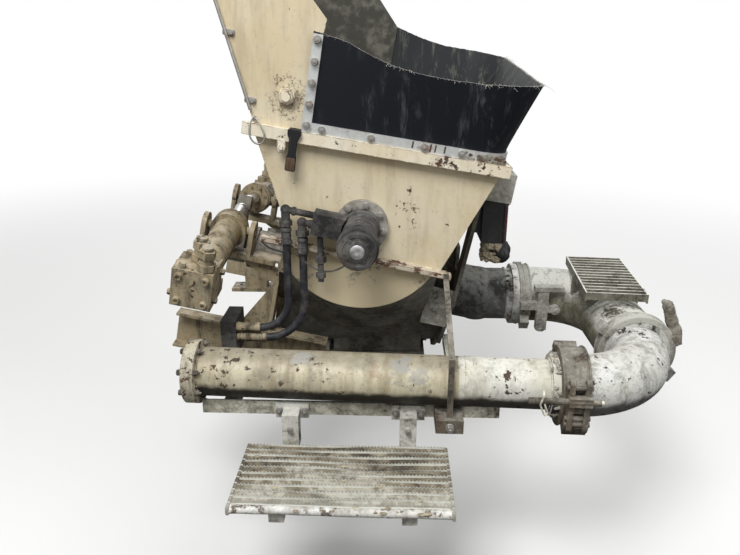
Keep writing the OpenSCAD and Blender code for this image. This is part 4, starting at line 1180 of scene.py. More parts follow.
@dataclass
class SplashGuard:
    """Belt rubber round the hopper's rear, standing on the rim and leaning out towards its cut edge."""

    front: float = -0.224
    far_front: float = -0.024
    side: float = 0.466
    corner_radius: float = 0.090
    corner_x: float = 0.282
    thickness: float = 0.008
    foot: float = 0.239
    rise: float = 0.273
    strip: float = 0.028
    strip_t: float = 0.005
    near_edge: tuple = ((-0.224, 0), (-0.129, -0.014), (-0.056, -0.039), (0.005, -0.055), (0.086, -0.064),
                        (0.175, -0.065), (0.262, -0.062), (0.379, -0.043))
    far_edge: tuple = ((0.003, 0.063), (0.109, 0.037), (0.201, 0.024), (0.328, 0.025), (0.379, 0.024))
    near_lean: tuple = ((-0.196, 0), (-0.056, 0.008), (0.086, 0.020), (0.262, 0.034), (0.330, 0.052),
                        (0.379, 0.066))
    far_lean: tuple = ((0.004, 0), (0.086, 0.016), (0.262, 0.034), (0.330, 0.052), (0.379, 0.066))

    def foot_path(self, count: int) -> tuple[Array, Array]:
        """The foot line from the near front end round to the far one.

        Args:
            count: Points on the line, evenly spaced.

        Returns:
            Its points in X and Y, and the direction that each faces, in radians.
        """
        radius = self.corner_radius
        near, far = self.corner_x - self.front, self.corner_x - self.far_front
        bend, rear = radius * math.pi / 2, 2 * (self.side - radius)
        ends = np.cumsum((near, bend, rear, bend, far))
        points, facing = [], []
        for s in np.linspace(0, ends[-1], count):
            if s <= ends[0]:
                a, x, y = -math.pi / 2, self.front + s, -self.side
            elif s <= ends[1]:
                a = (s - ends[0]) / radius - math.pi / 2
                x, y = self.corner_x + radius * math.cos(a), -self.side + radius + radius * math.sin(a)
            elif s <= ends[2]:
                a, x, y = 0.0, self.corner_x + radius, s - ends[1] - rear / 2
            elif s <= ends[3]:
                a = (s - ends[2]) / radius
                x, y = self.corner_x + radius * math.cos(a), self.side - radius + radius * math.sin(a)
            else:
                a, x, y = math.pi / 2, self.corner_x - (s - ends[3]), self.side
            points.append((x, y))
            facing.append(a)
        return np.array(points), np.array(facing)

    def sheet(self, count: int, levels: int, out: float) -> Array:
        """One face of the rubber.

        Args:
            count: Columns along the foot line.
            levels: Rows from the foot to the cut edge.
            out: Distance outwards from the foot line.

        Returns:
            Rows of points in the unit's frame. A point stands at
            foot + (out + lean k + wave k) n, with k = 0 at the strip and 1 at the cut edge.
        """
        points, facing = self.foot_path(count)
        share = (points[:, 1] + self.side) / (2 * self.side)
        x = points[:, 0]
        lines = (self.near_edge, self.far_edge, self.near_lean, self.far_lean)
        near_edge, far_edge, near_lean, far_lean = (np.interp(x, *zip(*line)) for line in lines)
        top = self.foot + self.rise + (1 - share) * near_edge + share * far_edge
        lean = np.where(points[:, 1] < 0, near_lean, far_lean)
        from_ends = np.linspace(0, 1, count)
        loose = np.clip(np.minimum(from_ends, 1 - from_ends) / 0.05 - 0.5, 0, 1)
        normal = np.stack((np.cos(facing), np.sin(facing)), axis=1)
        held = self.foot + self.strip + 0.008
        rows = []
        for t in np.linspace(0, 1, levels):
            height = self.foot + t * (top - self.foot)
            k = np.clip((height - held) / (top - held), 0, 1)
            sample = np.column_stack((points * 2.6, height * 2.0))
            wave = 0.0028 * ripple(sample, 11, 2) * loose * k
            offset = out + lean * k**1.08 + wave
            place = points + normal * offset[:, None]
            rows.append(np.column_stack((place, height)))
        return RIM.place(np.array(rows))

    def build(self, finishes: Finishes) -> None:
        """Makes the rubber with its cut edge, the frayed threads and the strips' bolts."""
        self.build_rubber(finishes)
        self.build_threads(finishes)
        self.build_bolts(finishes)
        self.build_crust(finishes)

    def build_rubber(self, finishes: Finishes) -> None:
        """The sheet itself, in place of the plain solid."""
        count, levels = 240, 22
        outer, inner = self.sheet(count, levels, self.thickness), self.sheet(count, levels, 0.0)
        rng = np.random.default_rng(5)
        rag = rng.normal(0, 0.0005, count)
        outer[-1, :, 2] += rag
        inner[-1, :, 2] += rag
        shell = Shell()
        shell.grid(outer)
        shell.grid(inner[::-1], tag=2)
        shell.grid(np.stack((outer[-1], 0.5 * (outer[-1] + inner[-1]) + (0, 0, 0.0008), inner[-1])), tag=1)
        shell.grid(np.stack((outer[0], inner[0])))
        for column in (0, -1):
            shell.grid(np.stack((outer[:, column], inner[:, column])), tag=1)
        skins = (finishes.rubber, finishes.fray, finishes.lined_rubber)
        rubber = shell.piece("splash_rubber", Slot.RUBBER, *skins)
        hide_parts("splash_guard")

    def build_threads(self, finishes: Finishes) -> None:
        """Pale threads of the belt's fabric that stick out of its cut edge."""
        count = 240
        outer, inner = self.sheet(count, 2, self.thickness)[-1], self.sheet(count, 2, 0.0)[-1]
        rng = np.random.default_rng(21)
        shell = Shell()
        tufts = ((30, 2.0, 20), (33, 2.5, 26), (52, 2.0, 16), (66, 3.0, 34), (80, 4.0, 30), (172, 5.0, 70),
                 (182, 3.0, 36))
        threads, longest = 420, 0.024
        seats = list(rng.uniform(2, count - 3, threads))
        sizes = list(rng.exponential(0.0032, threads) + 0.0012)
        for middle, spread, many in tufts:
            seats += list(np.clip(rng.normal(middle, spread, many), 1, count - 3))
            sizes += list(rng.exponential(0.0065, many) + 0.002)
        for seat, size in zip(seats, sizes):
            i = int(seat)
            across = rng.uniform(0, 1)
            base = (1 - across) * outer[i] + across * inner[i] + (seat - i) * (outer[i + 1] - outer[i])
            along = basis(outer[i + 1] - outer[i])[2]
            out = basis(outer[i] - inner[i])[2]
            way = rng.normal(0, 0.7) * along + rng.normal(0.2, 0.6) * out + rng.uniform(0.1, 0.8) * UP
            way /= np.linalg.norm(way)
            size = min(size, longest)
            steps = np.linspace(0, 1, 5)[:, None]
            drop = DOWN + 0.5 * out
            path = base - (0, 0, 0.001) + way * size * steps + drop * 0.75 * size * steps**2
            shell.tube(path, np.linspace(0.0006, 0.0003, 5), 3)
        shell.piece("frayed_threads", Slot.RUBBER, finishes.thread)

    def build_bolts(self, finishes: Finishes) -> None:
        """Hexagon bolts with washers along the retaining strips, and rusty slots in the near one."""
        shell = Shell()
        middle = self.strip / 2
        face = self.side + self.thickness + self.strip_t
        strip = self.foot + middle
        rear = RIM.turn(REAR)
        for z in (0.020, 0.078, 0.136, 0.194, 0.252):
            shell.bolt(RIM.at(self.front + middle, -face, self.foot + z), NEAR, 0.019, stud=0.003)
            shell.bolt(RIM.at(self.far_front + middle, face, self.foot + 1.15 * z), FAR, 0.019, stud=0.003)
        for x in (-0.165, -0.023, 0.131, 0.240):
            shell.bolt(RIM.at(x, -face, strip), NEAR, 0.018, stud=0.003)
        for x in (0.055, 0.180):
            shell.bolt(RIM.at(x, face, strip), FAR, 0.018, stud=0.003)
        out = self.corner_x + self.corner_radius + self.thickness + self.strip_t
        for y in (-0.30, -0.15, 0.0, 0.15, 0.30):
            shell.bolt(RIM.at(out, y, strip), rear, 0.018, stud=0.003)
        shell.piece("strip_bolts", Slot.ZINC, finishes.bolt)
        slots = Shell()
        for x, low in ((0.097, 0.006), (0.149, 0.003), (0.163, 0.004), (0.190, 0.006)):
            corners = [(x - 0.0025, low), (x + 0.0025, low), (x + 0.003, 0.026), (x - 0.002, 0.026)]
            slots.slab(rounded(corners, 0.002, 2), self.on_near_strip(), -0.001, 0.0006)
        slots.piece("strip_slots", Slot.RUSTY, finishes.dark_rust)

    def on_near_strip(self) -> Callable[[Array], Array]:
        """Places X, height over the foot and distance out of the near strip's face."""
        return RIM.wall(-(self.side + self.thickness + self.strip_t), self.foot)

    def build_crust(self, finishes: Finishes) -> None:
        """Broken cement on the rear end of the near strip and in the corners of the rim."""
        rng = np.random.default_rng(8)
        shell = Shell()
        for i in range(46):
            x = 0.232 + 0.135 * rng.beta(2.0, 1.3)
            at = self.on_near_strip()(np.array((x, rng.uniform(0.001, 0.022), 0.0)))
            shell.crumb(at, rng, (0.003, 0.008), (1.3, 0.45, 1.0), 100 + i, odd=0.35)
        for i in range(26):
            y = rng.uniform(-0.40, 0.40)
            at = RIM.at(self.corner_x + self.corner_radius + 0.012, y, self.foot + rng.uniform(0, 0.01))
            shell.crumb(at, rng, (0.003, 0.008), (0.6, 1.2, 0.8), 200 + i, odd=0.3)
        shell.piece("strip_crust", Slot.CONCRETE, finishes.crust, finishes.dark_rust)


@dataclass
class HoodTrim:
    """Stay rod, pin ring, lug and rubber latch on the near side, and the welds of the cheeks."""

    top: float = 0.239
    side: float = 0.466
    rim_face: float = 0.488
    weld_y: float = 0.4595
    lean: float = -0.46
    front: float = -0.362

    def build(self, finishes: Finishes) -> None:
        """Makes each of them."""
        self.build_stay(finishes)
        self.build_ring(finishes)
        self.build_lug(finishes)
        self.build_latch(finishes)
        self.build_edges(finishes)

    def build_stay(self, finishes: Finishes) -> None:
        """The thin rod before the near cheek's front edge, held by three clips."""
        heights = np.linspace(0.050, 0.700, 30)
        heights = heights[heights > 0.252]
        y = np.full(len(heights), -self.side - 0.0095)
        shell = Shell()
        shell.tube(RIM.place(np.column_stack((self.edge(heights) + 0.005, y, heights))), 0.0045, 10)
        for height in (0.300, 0.470, 0.640):
            edge = self.edge(height)
            outline = panel((edge - 0.004, height - 0.009), (edge + 0.030, height + 0.009), 0.006, 3)
            shell.slab(outline, RIM.wall(-self.side), 0.0, 0.0050)
            shell.bolt(RIM.at(edge + 0.021, -self.side - 0.005, height), NEAR, 0.010)
        shell.piece("cheek_stay", Slot.CREAM, finishes.bolt)

    def edge(self, height: float | Array) -> float | Array:
        """X of the cheeks' front edge at a height."""
        return self.front + self.lean * (height - self.top)

    def build_ring(self, finishes: Finishes) -> None:
        """A wire ring through the pin at the foot of the stay, hanging over the rim's near face."""
        top = RIM.at(self.front - 0.001, -self.side - 0.012, 0.250)
        angles = np.linspace(0, TURN, 41)[:-1]
        width = 0.020 - 0.006 * np.cos(angles)
        drop = 0.036 * (1 - np.cos(angles))
        x = top[0] + 0.006 + width * np.sin(angles) + 0.010 * drop / 0.07
        y = -self.rim_face - 0.0045 + 0.010 * np.cos(angles / 2) ** 8
        shell = Shell()
        shell.tube(np.column_stack((x, y, top[2] + 0.004 - drop)), 0.0026, 8)
        pin = top + np.array(((0.004, 0.018, 0.004), (0.005, -0.004, 0.002), (0.006, -0.014, 0.0)))
        shell.tube(pin, 0.005, 12)
        shell.piece("pin_ring", Slot.ZINC, finishes.bolt)

    def build_lug(self, finishes: Finishes) -> None:
        """A small plate with a pin, under the rim before the latch."""
        corners = [(-0.286, 0.206), (-0.262, 0.206), (-0.258, 0.186), (-0.266, 0.170), (-0.282, 0.172)]
        shell = Shell()
        shell.slab(rounded(corners, 0.006, 4), RIM.wall(-self.rim_face), -0.004, 0.004)
        shell.lathe([(-0.010, 0.006), (0.009, 0.006), (0.010, 0.005)],
                    RIM.at(-0.272, -self.rim_face, 0.184), NEAR, 14)
        shell.piece("rim_lug", Slot.CREAM, finishes.cream_rough)

    def build_latch(self, finishes: Finishes) -> None:
        """The rubber latch: a hooked head over the rim, a tapering neck and a ribbed grip."""
        outline = rounded([
            (-0.258, 0.243), (-0.220, 0.243), (-0.220, 0.226), (-0.227, 0.214), (-0.228, 0.172),
            (-0.225, 0.166), (-0.224, 0.124), (-0.254, 0.124), (-0.253, 0.166), (-0.250, 0.172),
            (-0.251, 0.214), (-0.258, 0.226),
        ], 0.006, 4)
        before_rim = RIM.wall(-self.rim_face)
        shell = Shell()
        shell.slab(outline, before_rim, 0.0005, 0.0135)
        shell.slab(panel((-0.256, -0.022), (-0.222, 0.012), 0.004, 3), self.over_rim, 0.0005, 0.0045)
        grip = rounded([(-0.2515, 0.163), (-0.2265, 0.163), (-0.2255, 0.126), (-0.2525, 0.126)], 0.004, 3)
        shell.slab(grip, before_rim, 0.012, 0.0155, tag=1)
        for x in (-0.245, -0.233):
            rib = panel((x - 0.002, 0.129), (x + 0.002, 0.160), 0.0015, 2)
            shell.slab(rib, before_rim, 0.014, 0.0175, tag=1)
        pin = RIM.at(-0.239, -self.rim_face, 0.136)
        shell.lathe([(-0.026, 0.004), (0.004, 0.004)], pin, NEAR, 12)
        latch = shell.piece("rubber_latch", Slot.RUBBER, finishes.old_rubber, finishes.dark_rust)
        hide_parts("draw_latch")

    def over_rim(self, points: Array) -> Array:
        """Places X, distance out of the rim's near face and height over the rim."""
        x, out, height = points[..., 0], points[..., 1], points[..., 2]
        return RIM.place(np.stack((x, -self.rim_face - out, self.top + height), axis=-1))

    def build_edges(self, finishes: Finishes) -> None:
        """Weld beads where the cheeks meet the front wall."""
        shell = Shell()
        heights = np.linspace(0.245, 0.70, 46)
        for y in (-self.weld_y, self.weld_y):
            line = np.column_stack((self.edge(heights) + 0.009, np.full(46, y), heights))
            shell.tube(RIM.place(line), 0.0035 + 0.0006 * np.sin(heights * 900), 8)
        shell.piece("hood_welds", Slot.CREAM, finishes.cream_rough)


@dataclass
class SideStep:
    """The step: louvred planks with toothed far edges between two side plates, with a rolled front lip."""

    corner: Colour = (0.190, -1.075, -0.054)
    length: float = 0.560
    depth: float = 0.285
    planks: int = 11
    plate: float = 0.008
    tooth: float = 0.0050
    tooth_pitch: float = 0.0092

    def bent(self, points: Array) -> Array:
        """Places local points and bends them as the old step is bent.

        The dip is d = 5 mm exp(-(x-0.62)^2/0.03) exp(-(y-0.60)^2/0.02), with x and y as shares,
        and the near rear corner droops by up to 4 mm.
        """
        x, y = points[..., 0] / self.length, points[..., 1] / self.depth
        dip = 0.0050 * np.exp(-((x - 0.62) ** 2) / 0.03) * np.exp(-((y - 0.60) ** 2) / 0.02)
        droop = 0.004 * np.clip((x - 0.75) / 0.25, 0, 1) ** 2 * np.clip(1 - 3 * y, 0, 1)
        lift = 0.0015 * np.sin(7 * x + 9 * y)
        bent = points.copy()
        bent[..., 2] += lift - dip - droop
        return bent + np.array(self.corner)

    def build(self, finishes: Finishes) -> None:
        """Makes the planks, side plates, lip and the mud on them."""
        shell = Shell()
        row = self.depth / self.planks
        columns = np.linspace(0.006, self.length - 0.006, 300)
        teeth = self.tooth * np.abs(np.mod(columns / self.tooth_pitch, 1.0) * 2 - 1)
        profile = [(0.0, 0.003), (0.0, 0.0105), (0.002, 0.0120), (0.011, 0.0138), (0.0175, 0.0150),
                   (0.0185, 0.0165), (0.0205, 0.0165), (0.0212, 0.013), (0.0212, 0.003)]
        toothed = (0.0185, 0.0205)
        for i in range(self.planks):
            wave = 0.0014 * np.sin(columns * (9 + i) + 1.7 * i)
            gap = 0.006 * np.exp(-((columns / self.length - 0.62) ** 2) / 0.02) if i == 6 else 0
            line = i * row + (0.004 if i else 0.010) + wave - gap
            rows = [np.column_stack((columns, line + y, z + teeth * (y in toothed))) for y, z in profile]
            shell.grid(self.bent(np.stack(rows, axis=1)), wrap=True, capped=True)
        outline = panel((0.0, -0.003), (self.depth, 0.0205), 0.005, 3)
        for x in (0.0, self.length - self.plate):
            shell.slab(outline, lambda p: self.bent(np.stack((p[..., 2], p[..., 0], p[..., 1]), axis=-1)),
                       x, x + self.plate)
        lip = np.linspace(0.0, self.length, 90)
        uneven = 0.0005 * np.sin(60 * lip)
        rows = []
        for a in np.linspace(-0.35 * math.pi, 1.05 * math.pi, 12):
            y = np.full(90, 0.0115 - 0.0115 * math.sin(a))
            rows.append(np.column_stack((lip, y, 0.0085 + 0.0105 * math.cos(a) + uneven)))
        shell.grid(self.bent(np.stack(rows, axis=1)), wrap=True, tag=1, capped=True)
        tread = shell.piece("toothed_tread", Slot.CONCRETE, finishes.step_skin, finishes.step_lip, sharp=30)
        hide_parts("step_tread")
        self.build_mud(finishes)

    def build_mud(self, finishes: Finishes) -> None:
        """Crumbs of dry mud in the planks' corners and round the bent part of the lip."""
        rng = np.random.default_rng(31)
        shell = Shell()
        for i in range(44):
            x = 0.42 + 0.09 * rng.normal() if i < 20 else rng.uniform(0.02, 0.54)
            y = rng.uniform(0.0, 0.02) if i < 20 else rng.uniform(0.02, 0.27)
            at = self.bent(np.array((np.clip(x, 0.01, 0.55), y, 0.016)))
            shell.crumb(at, rng, (0.003, 0.007), (1.4, 0.9, 0.45), 300 + i)
        shell.piece("step_mud", Slot.CONCRETE, finishes.mud)


@dataclass
class DeliveryLine(Placed):
    """Small parts on the pipe, the elbows and their clamps."""

    pipe_rear: Colour = (1.0945, -0.7298, 0.135)
    toe: float = math.radians(2.5)
    length: float = 1.080
    clamp_middle: float = -0.009
    elbow_x: float = 1.345
    elbow_y: float = -0.490
    axis_z: float = 0.135
    outlet_x: float = 1.056
    flange_ring: float = 0.081
    weld_ring: float = 0.0712
    coupling_rib: float = 0.1085
    outlet_rib: float = 0.1125
    middle_rib: float = 0.1165

    def place(self, points: Array) -> Array:
        """Places points given along the pipe from its rear end, X to the rear."""
        c, s = math.cos(self.toe), math.sin(self.toe)
        x, y, z = points[..., 0], points[..., 1], points[..., 2]
        placed = np.stack((x * c + y * s, y * c - x * s, z), axis=-1)
        return placed + np.array(self.pipe_rear)

    def build(self, finishes: Finishes) -> None:
        """Makes each group."""
        self.build_flange(finishes)
        self.build_coupling(finishes)
        self.build_clamps(finishes)
        self.build_crumbs(finishes)

    def build_flange(self, finishes: Finishes) -> None:
        """Bolts and nuts round the front flange, and the welds at both ends of the pipe."""
        shell = Shell()
        front = -self.length - 0.006
        ahead = self.turn(REAR)
        for y, z in spokes(8, self.flange_ring, math.pi / 8):
            shell.bolt(self.at(front + 0.036, y, z), ahead, 0.015, stud=0.006)
            shell.bolt(self.at(front, y, z), -ahead, 0.015)
        shell.piece("flange_bolts", Slot.CREAM, finishes.rusty_clamp)
        weld = Shell()
        bead = 0.0032 + 0.0007 * np.sin(np.linspace(0, TURN, 121) * 40)
        for x, size in ((front + 0.038, 1.0), (self.clamp_middle - 0.0575, 1.3)):
            weld.tube(self.place(hoop((x, 0, 0), self.weld_ring, count=120)), bead * size, 8)
        weld.piece("pipe_welds", Slot.CREAM, finishes.cream_pipe)

    def build_coupling(self, finishes: Finishes) -> None:
        """Pivot pins, edge ribs and the wire clip of the pipe's coupling."""
        shell = Shell()
        middle = self.clamp_middle
        ahead = self.turn(REAR)
        for x in (-0.034, 0.034):
            shell.tube(self.place(hoop((middle + x, 0, 0), self.coupling_rib)), 0.0035, 8)
        for z in (-0.052, -0.034, 0.056):
            shell.pin(self.at(middle, -0.122, z), ahead, 0.034, 0.0075, (0.001, 0.0015), 16)
        for x in (-0.021, 0.021):
            for z in (-0.062, 0.066):
                shell.pin(self.at(middle + x, -0.122, z), ahead, 0.0069, 0.0125, (0.0009, 0.0015))
        shell.piece("coupling_pins", Slot.RUSTY, finishes.rusty_clamp)
        clip = Shell()
        x0 = middle - 0.100
        loop = smooth_path([
            (x0 + 0.004, -0.137, 0.052), (x0 + 0.003, -0.150, 0.048), (x0, -0.153, 0.034),
            (x0 - 0.004, -0.154, 0.020), (x0 + 0.002, -0.153, 0.004), (x0 + 0.010, -0.151, -0.012),
            (x0 + 0.016, -0.149, -0.004), (x0 + 0.010, -0.148, 0.012), (x0 + 0.004, -0.141, 0.030),
        ], 60)
        clip.tube(self.place(loop), 0.0024, 8)
        clip.lathe([(-0.002, 0.004), (0.0, 0.0062), (0.006, 0.0062), (0.0075, 0.0045)],
                   self.at(middle + 0.052, -0.140, 0.024), ahead, 16)
        clip.piece("wire_clip", Slot.ZINC, finishes.rail)

    def build_clamps(self, finishes: Finishes) -> None:
        """Edge ribs, hinge discs and levers of the clamps at the outlet and between the elbows."""
        shell = Shell()
        for x, size in ((0.004, 0.0035), (0.021, 0.0022), (0.040, 0.0035)):
            shell.tube(hoop((self.outlet_x + x, 0, self.axis_z), self.outlet_rib), size, 8)
        lever = np.array((self.outlet_x + 0.022, -0.125, self.axis_z))
        for z in (-0.094, 0.060):
            shell.lathe([(-0.002, 0.014), (0.0, 0.0165), (0.010, 0.0165), (0.012, 0.014)],
                        lever + (0.057, 0.0, z), UP, 20)
        shell.pin(lever + (0.104, 0.0, -0.012), NEAR, 0.0165, 0.014, (0.0015, 0.002))
        shell.bolt(lever + (0.104, -0.016, -0.012), NEAR, 0.012)
        shell.piece("outlet_clamp_trim", Slot.CAST, finishes.casting)
        middle = Shell()
        for y in (-0.018, 0.018):
            rib = hoop((self.elbow_x, self.elbow_y + y, self.axis_z), self.middle_rib, axis=1)
            middle.tube(rib, 0.0032, 8)
        knots = ((1.463, 0.154), (1.458, 0.188), (1.454, 0.210), (1.441, 0.246), (1.428, 0.282),
                 (1.410, 0.300))
        lever = smooth_path([(x, self.elbow_y, z) for x, z in knots], 44)
        rng = np.random.default_rng(15)
        size = np.interp(lever[:, 2], (0.154, 0.163, 0.200, 0.222, 0.286, 0.300),
                         (0.015, 0.0235, 0.0240, 0.0190, 0.0168, 0.007))
        middle.tube(lever, size + 0.0007 * rng.normal(size=44), 20, tag=1)
        middle.pin(np.array((1.456, self.elbow_y, 0.186)), FAR, 0.026, 0.011, (0.001, 0.002), tag=1)
        middle.piece("middle_clamp_ribs", Slot.RUSTY, finishes.casting, finishes.rusty_clamp)

    def build_crumbs(self, finishes: Finishes) -> None:
        """Cement crumbs on the elbows' joints, on the neck and in the clamps."""
        rng = np.random.default_rng(44)
        shell = Shell()
        for i in range(40):
            a = rng.uniform(-math.pi, math.pi)
            x = self.clamp_middle - 0.040 - rng.uniform(0, 0.012)
            at = self.at(x, 0.088 * math.cos(a), 0.088 * math.sin(a))
            shell.crumb(at, rng, (0.003, 0.007), (1.2, 1.0, 0.8), 400 + i)
        for i in range(14):
            a = rng.uniform(-math.pi, math.pi)
            x = self.outlet_x - 0.024 - rng.uniform(0, 0.02)
            at = np.array((x, 0.100 * math.cos(a), self.axis_z + 0.100 * math.sin(a)))
            shell.crumb(at, rng, (0.004, 0.009), (1.0, 1.0, 0.8), 500 + i)
        shell.piece("line_crumbs", Slot.CONCRETE, finishes.crust)


@dataclass
class MotorTrim:
    """Bolts, end cap and rings of the agitator motor, and the bolts of the far bearing."""

    side: float = 0.460
    reach: float = 0.275
    flange_ring: float = 0.067
    bearing_ring: float = 0.063
    cap_ring: float = 0.034

    def build(self, finishes: Finishes) -> None:
        """Makes the bolts, the motor's cap with its rings and screws, and its bright disc."""
        shell = Shell()
        for k, (x, z) in enumerate(spokes(8, 1.0)):
            r = self.flange_ring
            shell.bolt(SLOPE.at(r * x, -self.side - 0.020, -r * z), NEAR, 0.016, stud=0.003)
            if k % 2:
                r = self.bearing_ring
                shell.bolt(SLOPE.at(r * x, self.side + 0.016, -r * z), FAR, 0.016)
        shell.piece("motor_bolts", Slot.CAST, finishes.bolt)
        cap = Shell()
        end = SLOPE.at(0.0, -self.side - self.reach, 0.0)
        cap.lathe([(-0.004, 0.0515), (0.0, 0.0515), (0.002, 0.0490), (0.002, 0.040), (-0.0005, 0.038),
                   (-0.0005, 0.031), (0.002, 0.029), (0.003, 0.024), (0.003, 0.0)], end, NEAR, 64)
        for y in (0.068, 0.130, 0.214, 0.246):
            radius = 0.0577 if y > 0.20 else 0.0517
            cap.pin(SLOPE.at(0.0, -self.side - y, 0.0), NEAR, 0.002, radius, (0.001, 0.0032), 64)
        for x, z in spokes(4, self.cap_ring, math.pi / 4):
            cap.socket_screw(SLOPE.at(x, -self.side - self.reach + 0.0005, z), NEAR, 0.0045)
        cap.piece("motor_cap", Slot.DARK, finishes.dark_paint)
        disc = Shell()
        disc.lathe([(0.002, 0.0195), (0.0045, 0.0195), (0.0052, 0.0185), (0.0052, 0.004), (0.0042, 0.0)],
                   end, NEAR, 40)
        disc.piece("motor_disc", Slot.CAST, finishes.bright)


@dataclass
class HoseSet:
    """The two drain hoses of the motor with their crimped ends, and the thin grease lines."""

    lane: float = -0.512
    radius: float = 0.012
    runs: tuple = ((0.276, 0.520, 0.112, 0.200, 0.090), (0.324, 0.490, 0.112, 0.168, 0.120))
    gap: float = 0.0003

    def route(self, run: tuple[float, ...]) -> Array:
        """Centre line of one hose, from its upper fitting down and round to its foot.

        Args:
            run: X and top of the upright part, X and height of the foot, and bend radius.

        Returns:
            Points about 8 mm apart.
        """
        x_up, top, z_foot, bend = run[0], run[1], *run[3:]
        upright = np.arange(top - self.gap - 0.050, z_foot + bend, -0.008)
        points = [(x_up, self.lane, z) for z in upright]
        for a in np.linspace(0, math.pi / 2, 16):
            points.append((x_up - bend + bend * math.cos(a), self.lane, z_foot + bend - bend * math.sin(a)))
        points.append((x_up - bend - 0.004, self.lane, z_foot))
        return np.array(points)

    def build(self, finishes: Finishes) -> None:
        """Makes the hoses, their sleeves and the thin lines."""
        sleeves = Shell()
        hoses = []
        for k, run in enumerate(self.runs):
            path = self.route(run)
            hose = Shell()
            hose.tube(path, self.radius, 16)
            made = hose.piece(f"drain_hose_{k + 1}", Slot.RUBBER, finishes.hose)
            hoses.append((made, path))
            x_up, top, x_foot, z_foot, bend = run
            foot = np.array((x_foot + self.gap, self.lane, z_foot))
            long = x_up - bend - x_foot
            self.build_sleeve(sleeves, foot, REAR, long, 0)
            self.build_sleeve(sleeves, np.array((x_up, self.lane, top - self.gap)), DOWN, 0.050, 1)
        crimped = sleeves.piece("hose_sleeves", Slot.CREAM, finishes.greasy_shaded_cream, finishes.dark_paint)
        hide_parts("drain_hoses")
        for made, path in hoses:
            length = float(np.linalg.norm(np.diff(path, axis=0), axis=1).sum())
            tuple(path[0])
        self.build_lines(finishes)

    def build_sleeve(self, shell: Shell, start: Array, along: Array, length: float, tag: int) -> None:
        """A crimped end: a barrel with pressed grooves between two collars."""
        rings = [(0.0, 0.0150), (0.004, 0.0164), (0.010, 0.0164), (0.012, 0.0148)]
        steps = max(3, int((length - 0.024) / 0.008))
        for i in range(steps):
            at = 0.013 + (length - 0.026) * i / steps
            rings += [(at, 0.0146), (at + 0.0055, 0.0146), (at + 0.0065, 0.0153), (at + 0.0075, 0.0153)]
        rings += [(length - 0.010, 0.0164), (length - 0.003, 0.0164), (length, 0.0140)]
        shell.lathe(rings, start, along, 20, tag)

    def build_lines(self, finishes: Finishes) -> None:
        """Thin steel grease lines that run from the split bar past the motor's fittings."""
        lines = Shell()
        routes = (
            [(0.300, -0.505, 0.440), (0.330, -0.520, 0.418), (0.378, -0.527, 0.392), (0.430, -0.520, 0.396),
             (0.478, -0.506, 0.430)],
            [(0.196, -0.486, 0.470), (0.216, -0.495, 0.455), (0.246, -0.498, 0.444), (0.288, -0.498, 0.434)],
        )
        for route in routes:
            lines.tube(smooth_path(route, 40), 0.0028, 8)
        lines.piece("grease_lines", Slot.DARK, finishes.dark_paint)


@dataclass
class ShiftTrim(Placed):
    """Screws, bolts, rings and nipples of one shift cylinder; side is -1 near and 1 far."""

    side: int
    body: Body
    crank_x: float = -0.430
    offset: float = 0.235
    height: float = -0.16303
    gland_ring: float = 0.0435
    rear_end: float = -0.447
    angle: float = math.radians(8)

    def place(self, points: Array) -> Array:
        """Turns points along the cylinder, X towards the crank's tip, into the unit's frame."""
        x, y, z = points[..., 0], points[..., 1], points[..., 2]
        turned_x, turned_y = (-y, x) if self.side < 0 else (y, -x)
        tip = -self.side * self.angle
        c, s = math.cos(tip), math.sin(tip)
        local = np.stack((self.crank_x + turned_x, self.side * self.offset + turned_y * c - z * s,
                          self.height + turned_y * s + z * c), axis=-1)
        return SLOPE.place(local)

    def build(self, finishes: Finishes) -> None:
        """Makes each of them."""
        shell = Shell()
        ahead, up = self.turn(REAR), self.turn(UP)
        for y in (-0.038, 0.038):
            for z in (-0.038, 0.038):
                shell.socket_screw(self.at(self.rear_end, y, z), -ahead, 0.011)
        for x, y in ((-0.352, 0.036), (-0.430, 0.034)):
            shell.bolt(self.at(x, y, 0.058), up, 0.019)
        for x, z in ((-0.360, 0.030), (-0.425, -0.030)):
            for y in (-0.058, 0.058):
                shell.bolt(self.at(x, y, z), self.turn((0, y, 0)), 0.017)
        for y, z in spokes(8, self.gland_ring, math.pi / 8):
            shell.socket_screw(self.at(0.036, y, z), ahead, 0.006)
        for x in (-0.270, -0.150, 0.010):
            shell.pin(self.at(x, 0.0, 0.0), ahead, 0.004, 0.0475, (0.001, 0.0025), 48)
        name = "near" if self.side < 0 else "far"
        shell.piece(f"{name}_cylinder_screws", Slot.CREAM, finishes.greasy_shaded_cream, body=self.body)
        nipples = Shell()
        for x, y in ((-0.371, 0.0), (-0.421, -0.030)):
            nipples.lathe([(-0.002, 0.014), (0.008, 0.014), (0.010, 0.0165), (0.016, 0.0165), (0.018, 0.012)],
                          self.at(x, y, 0.116), up, 20)
        nipples.piece(f"{name}_cylinder_nipples", Slot.CREAM, finishes.cream_pipe, body=self.body)


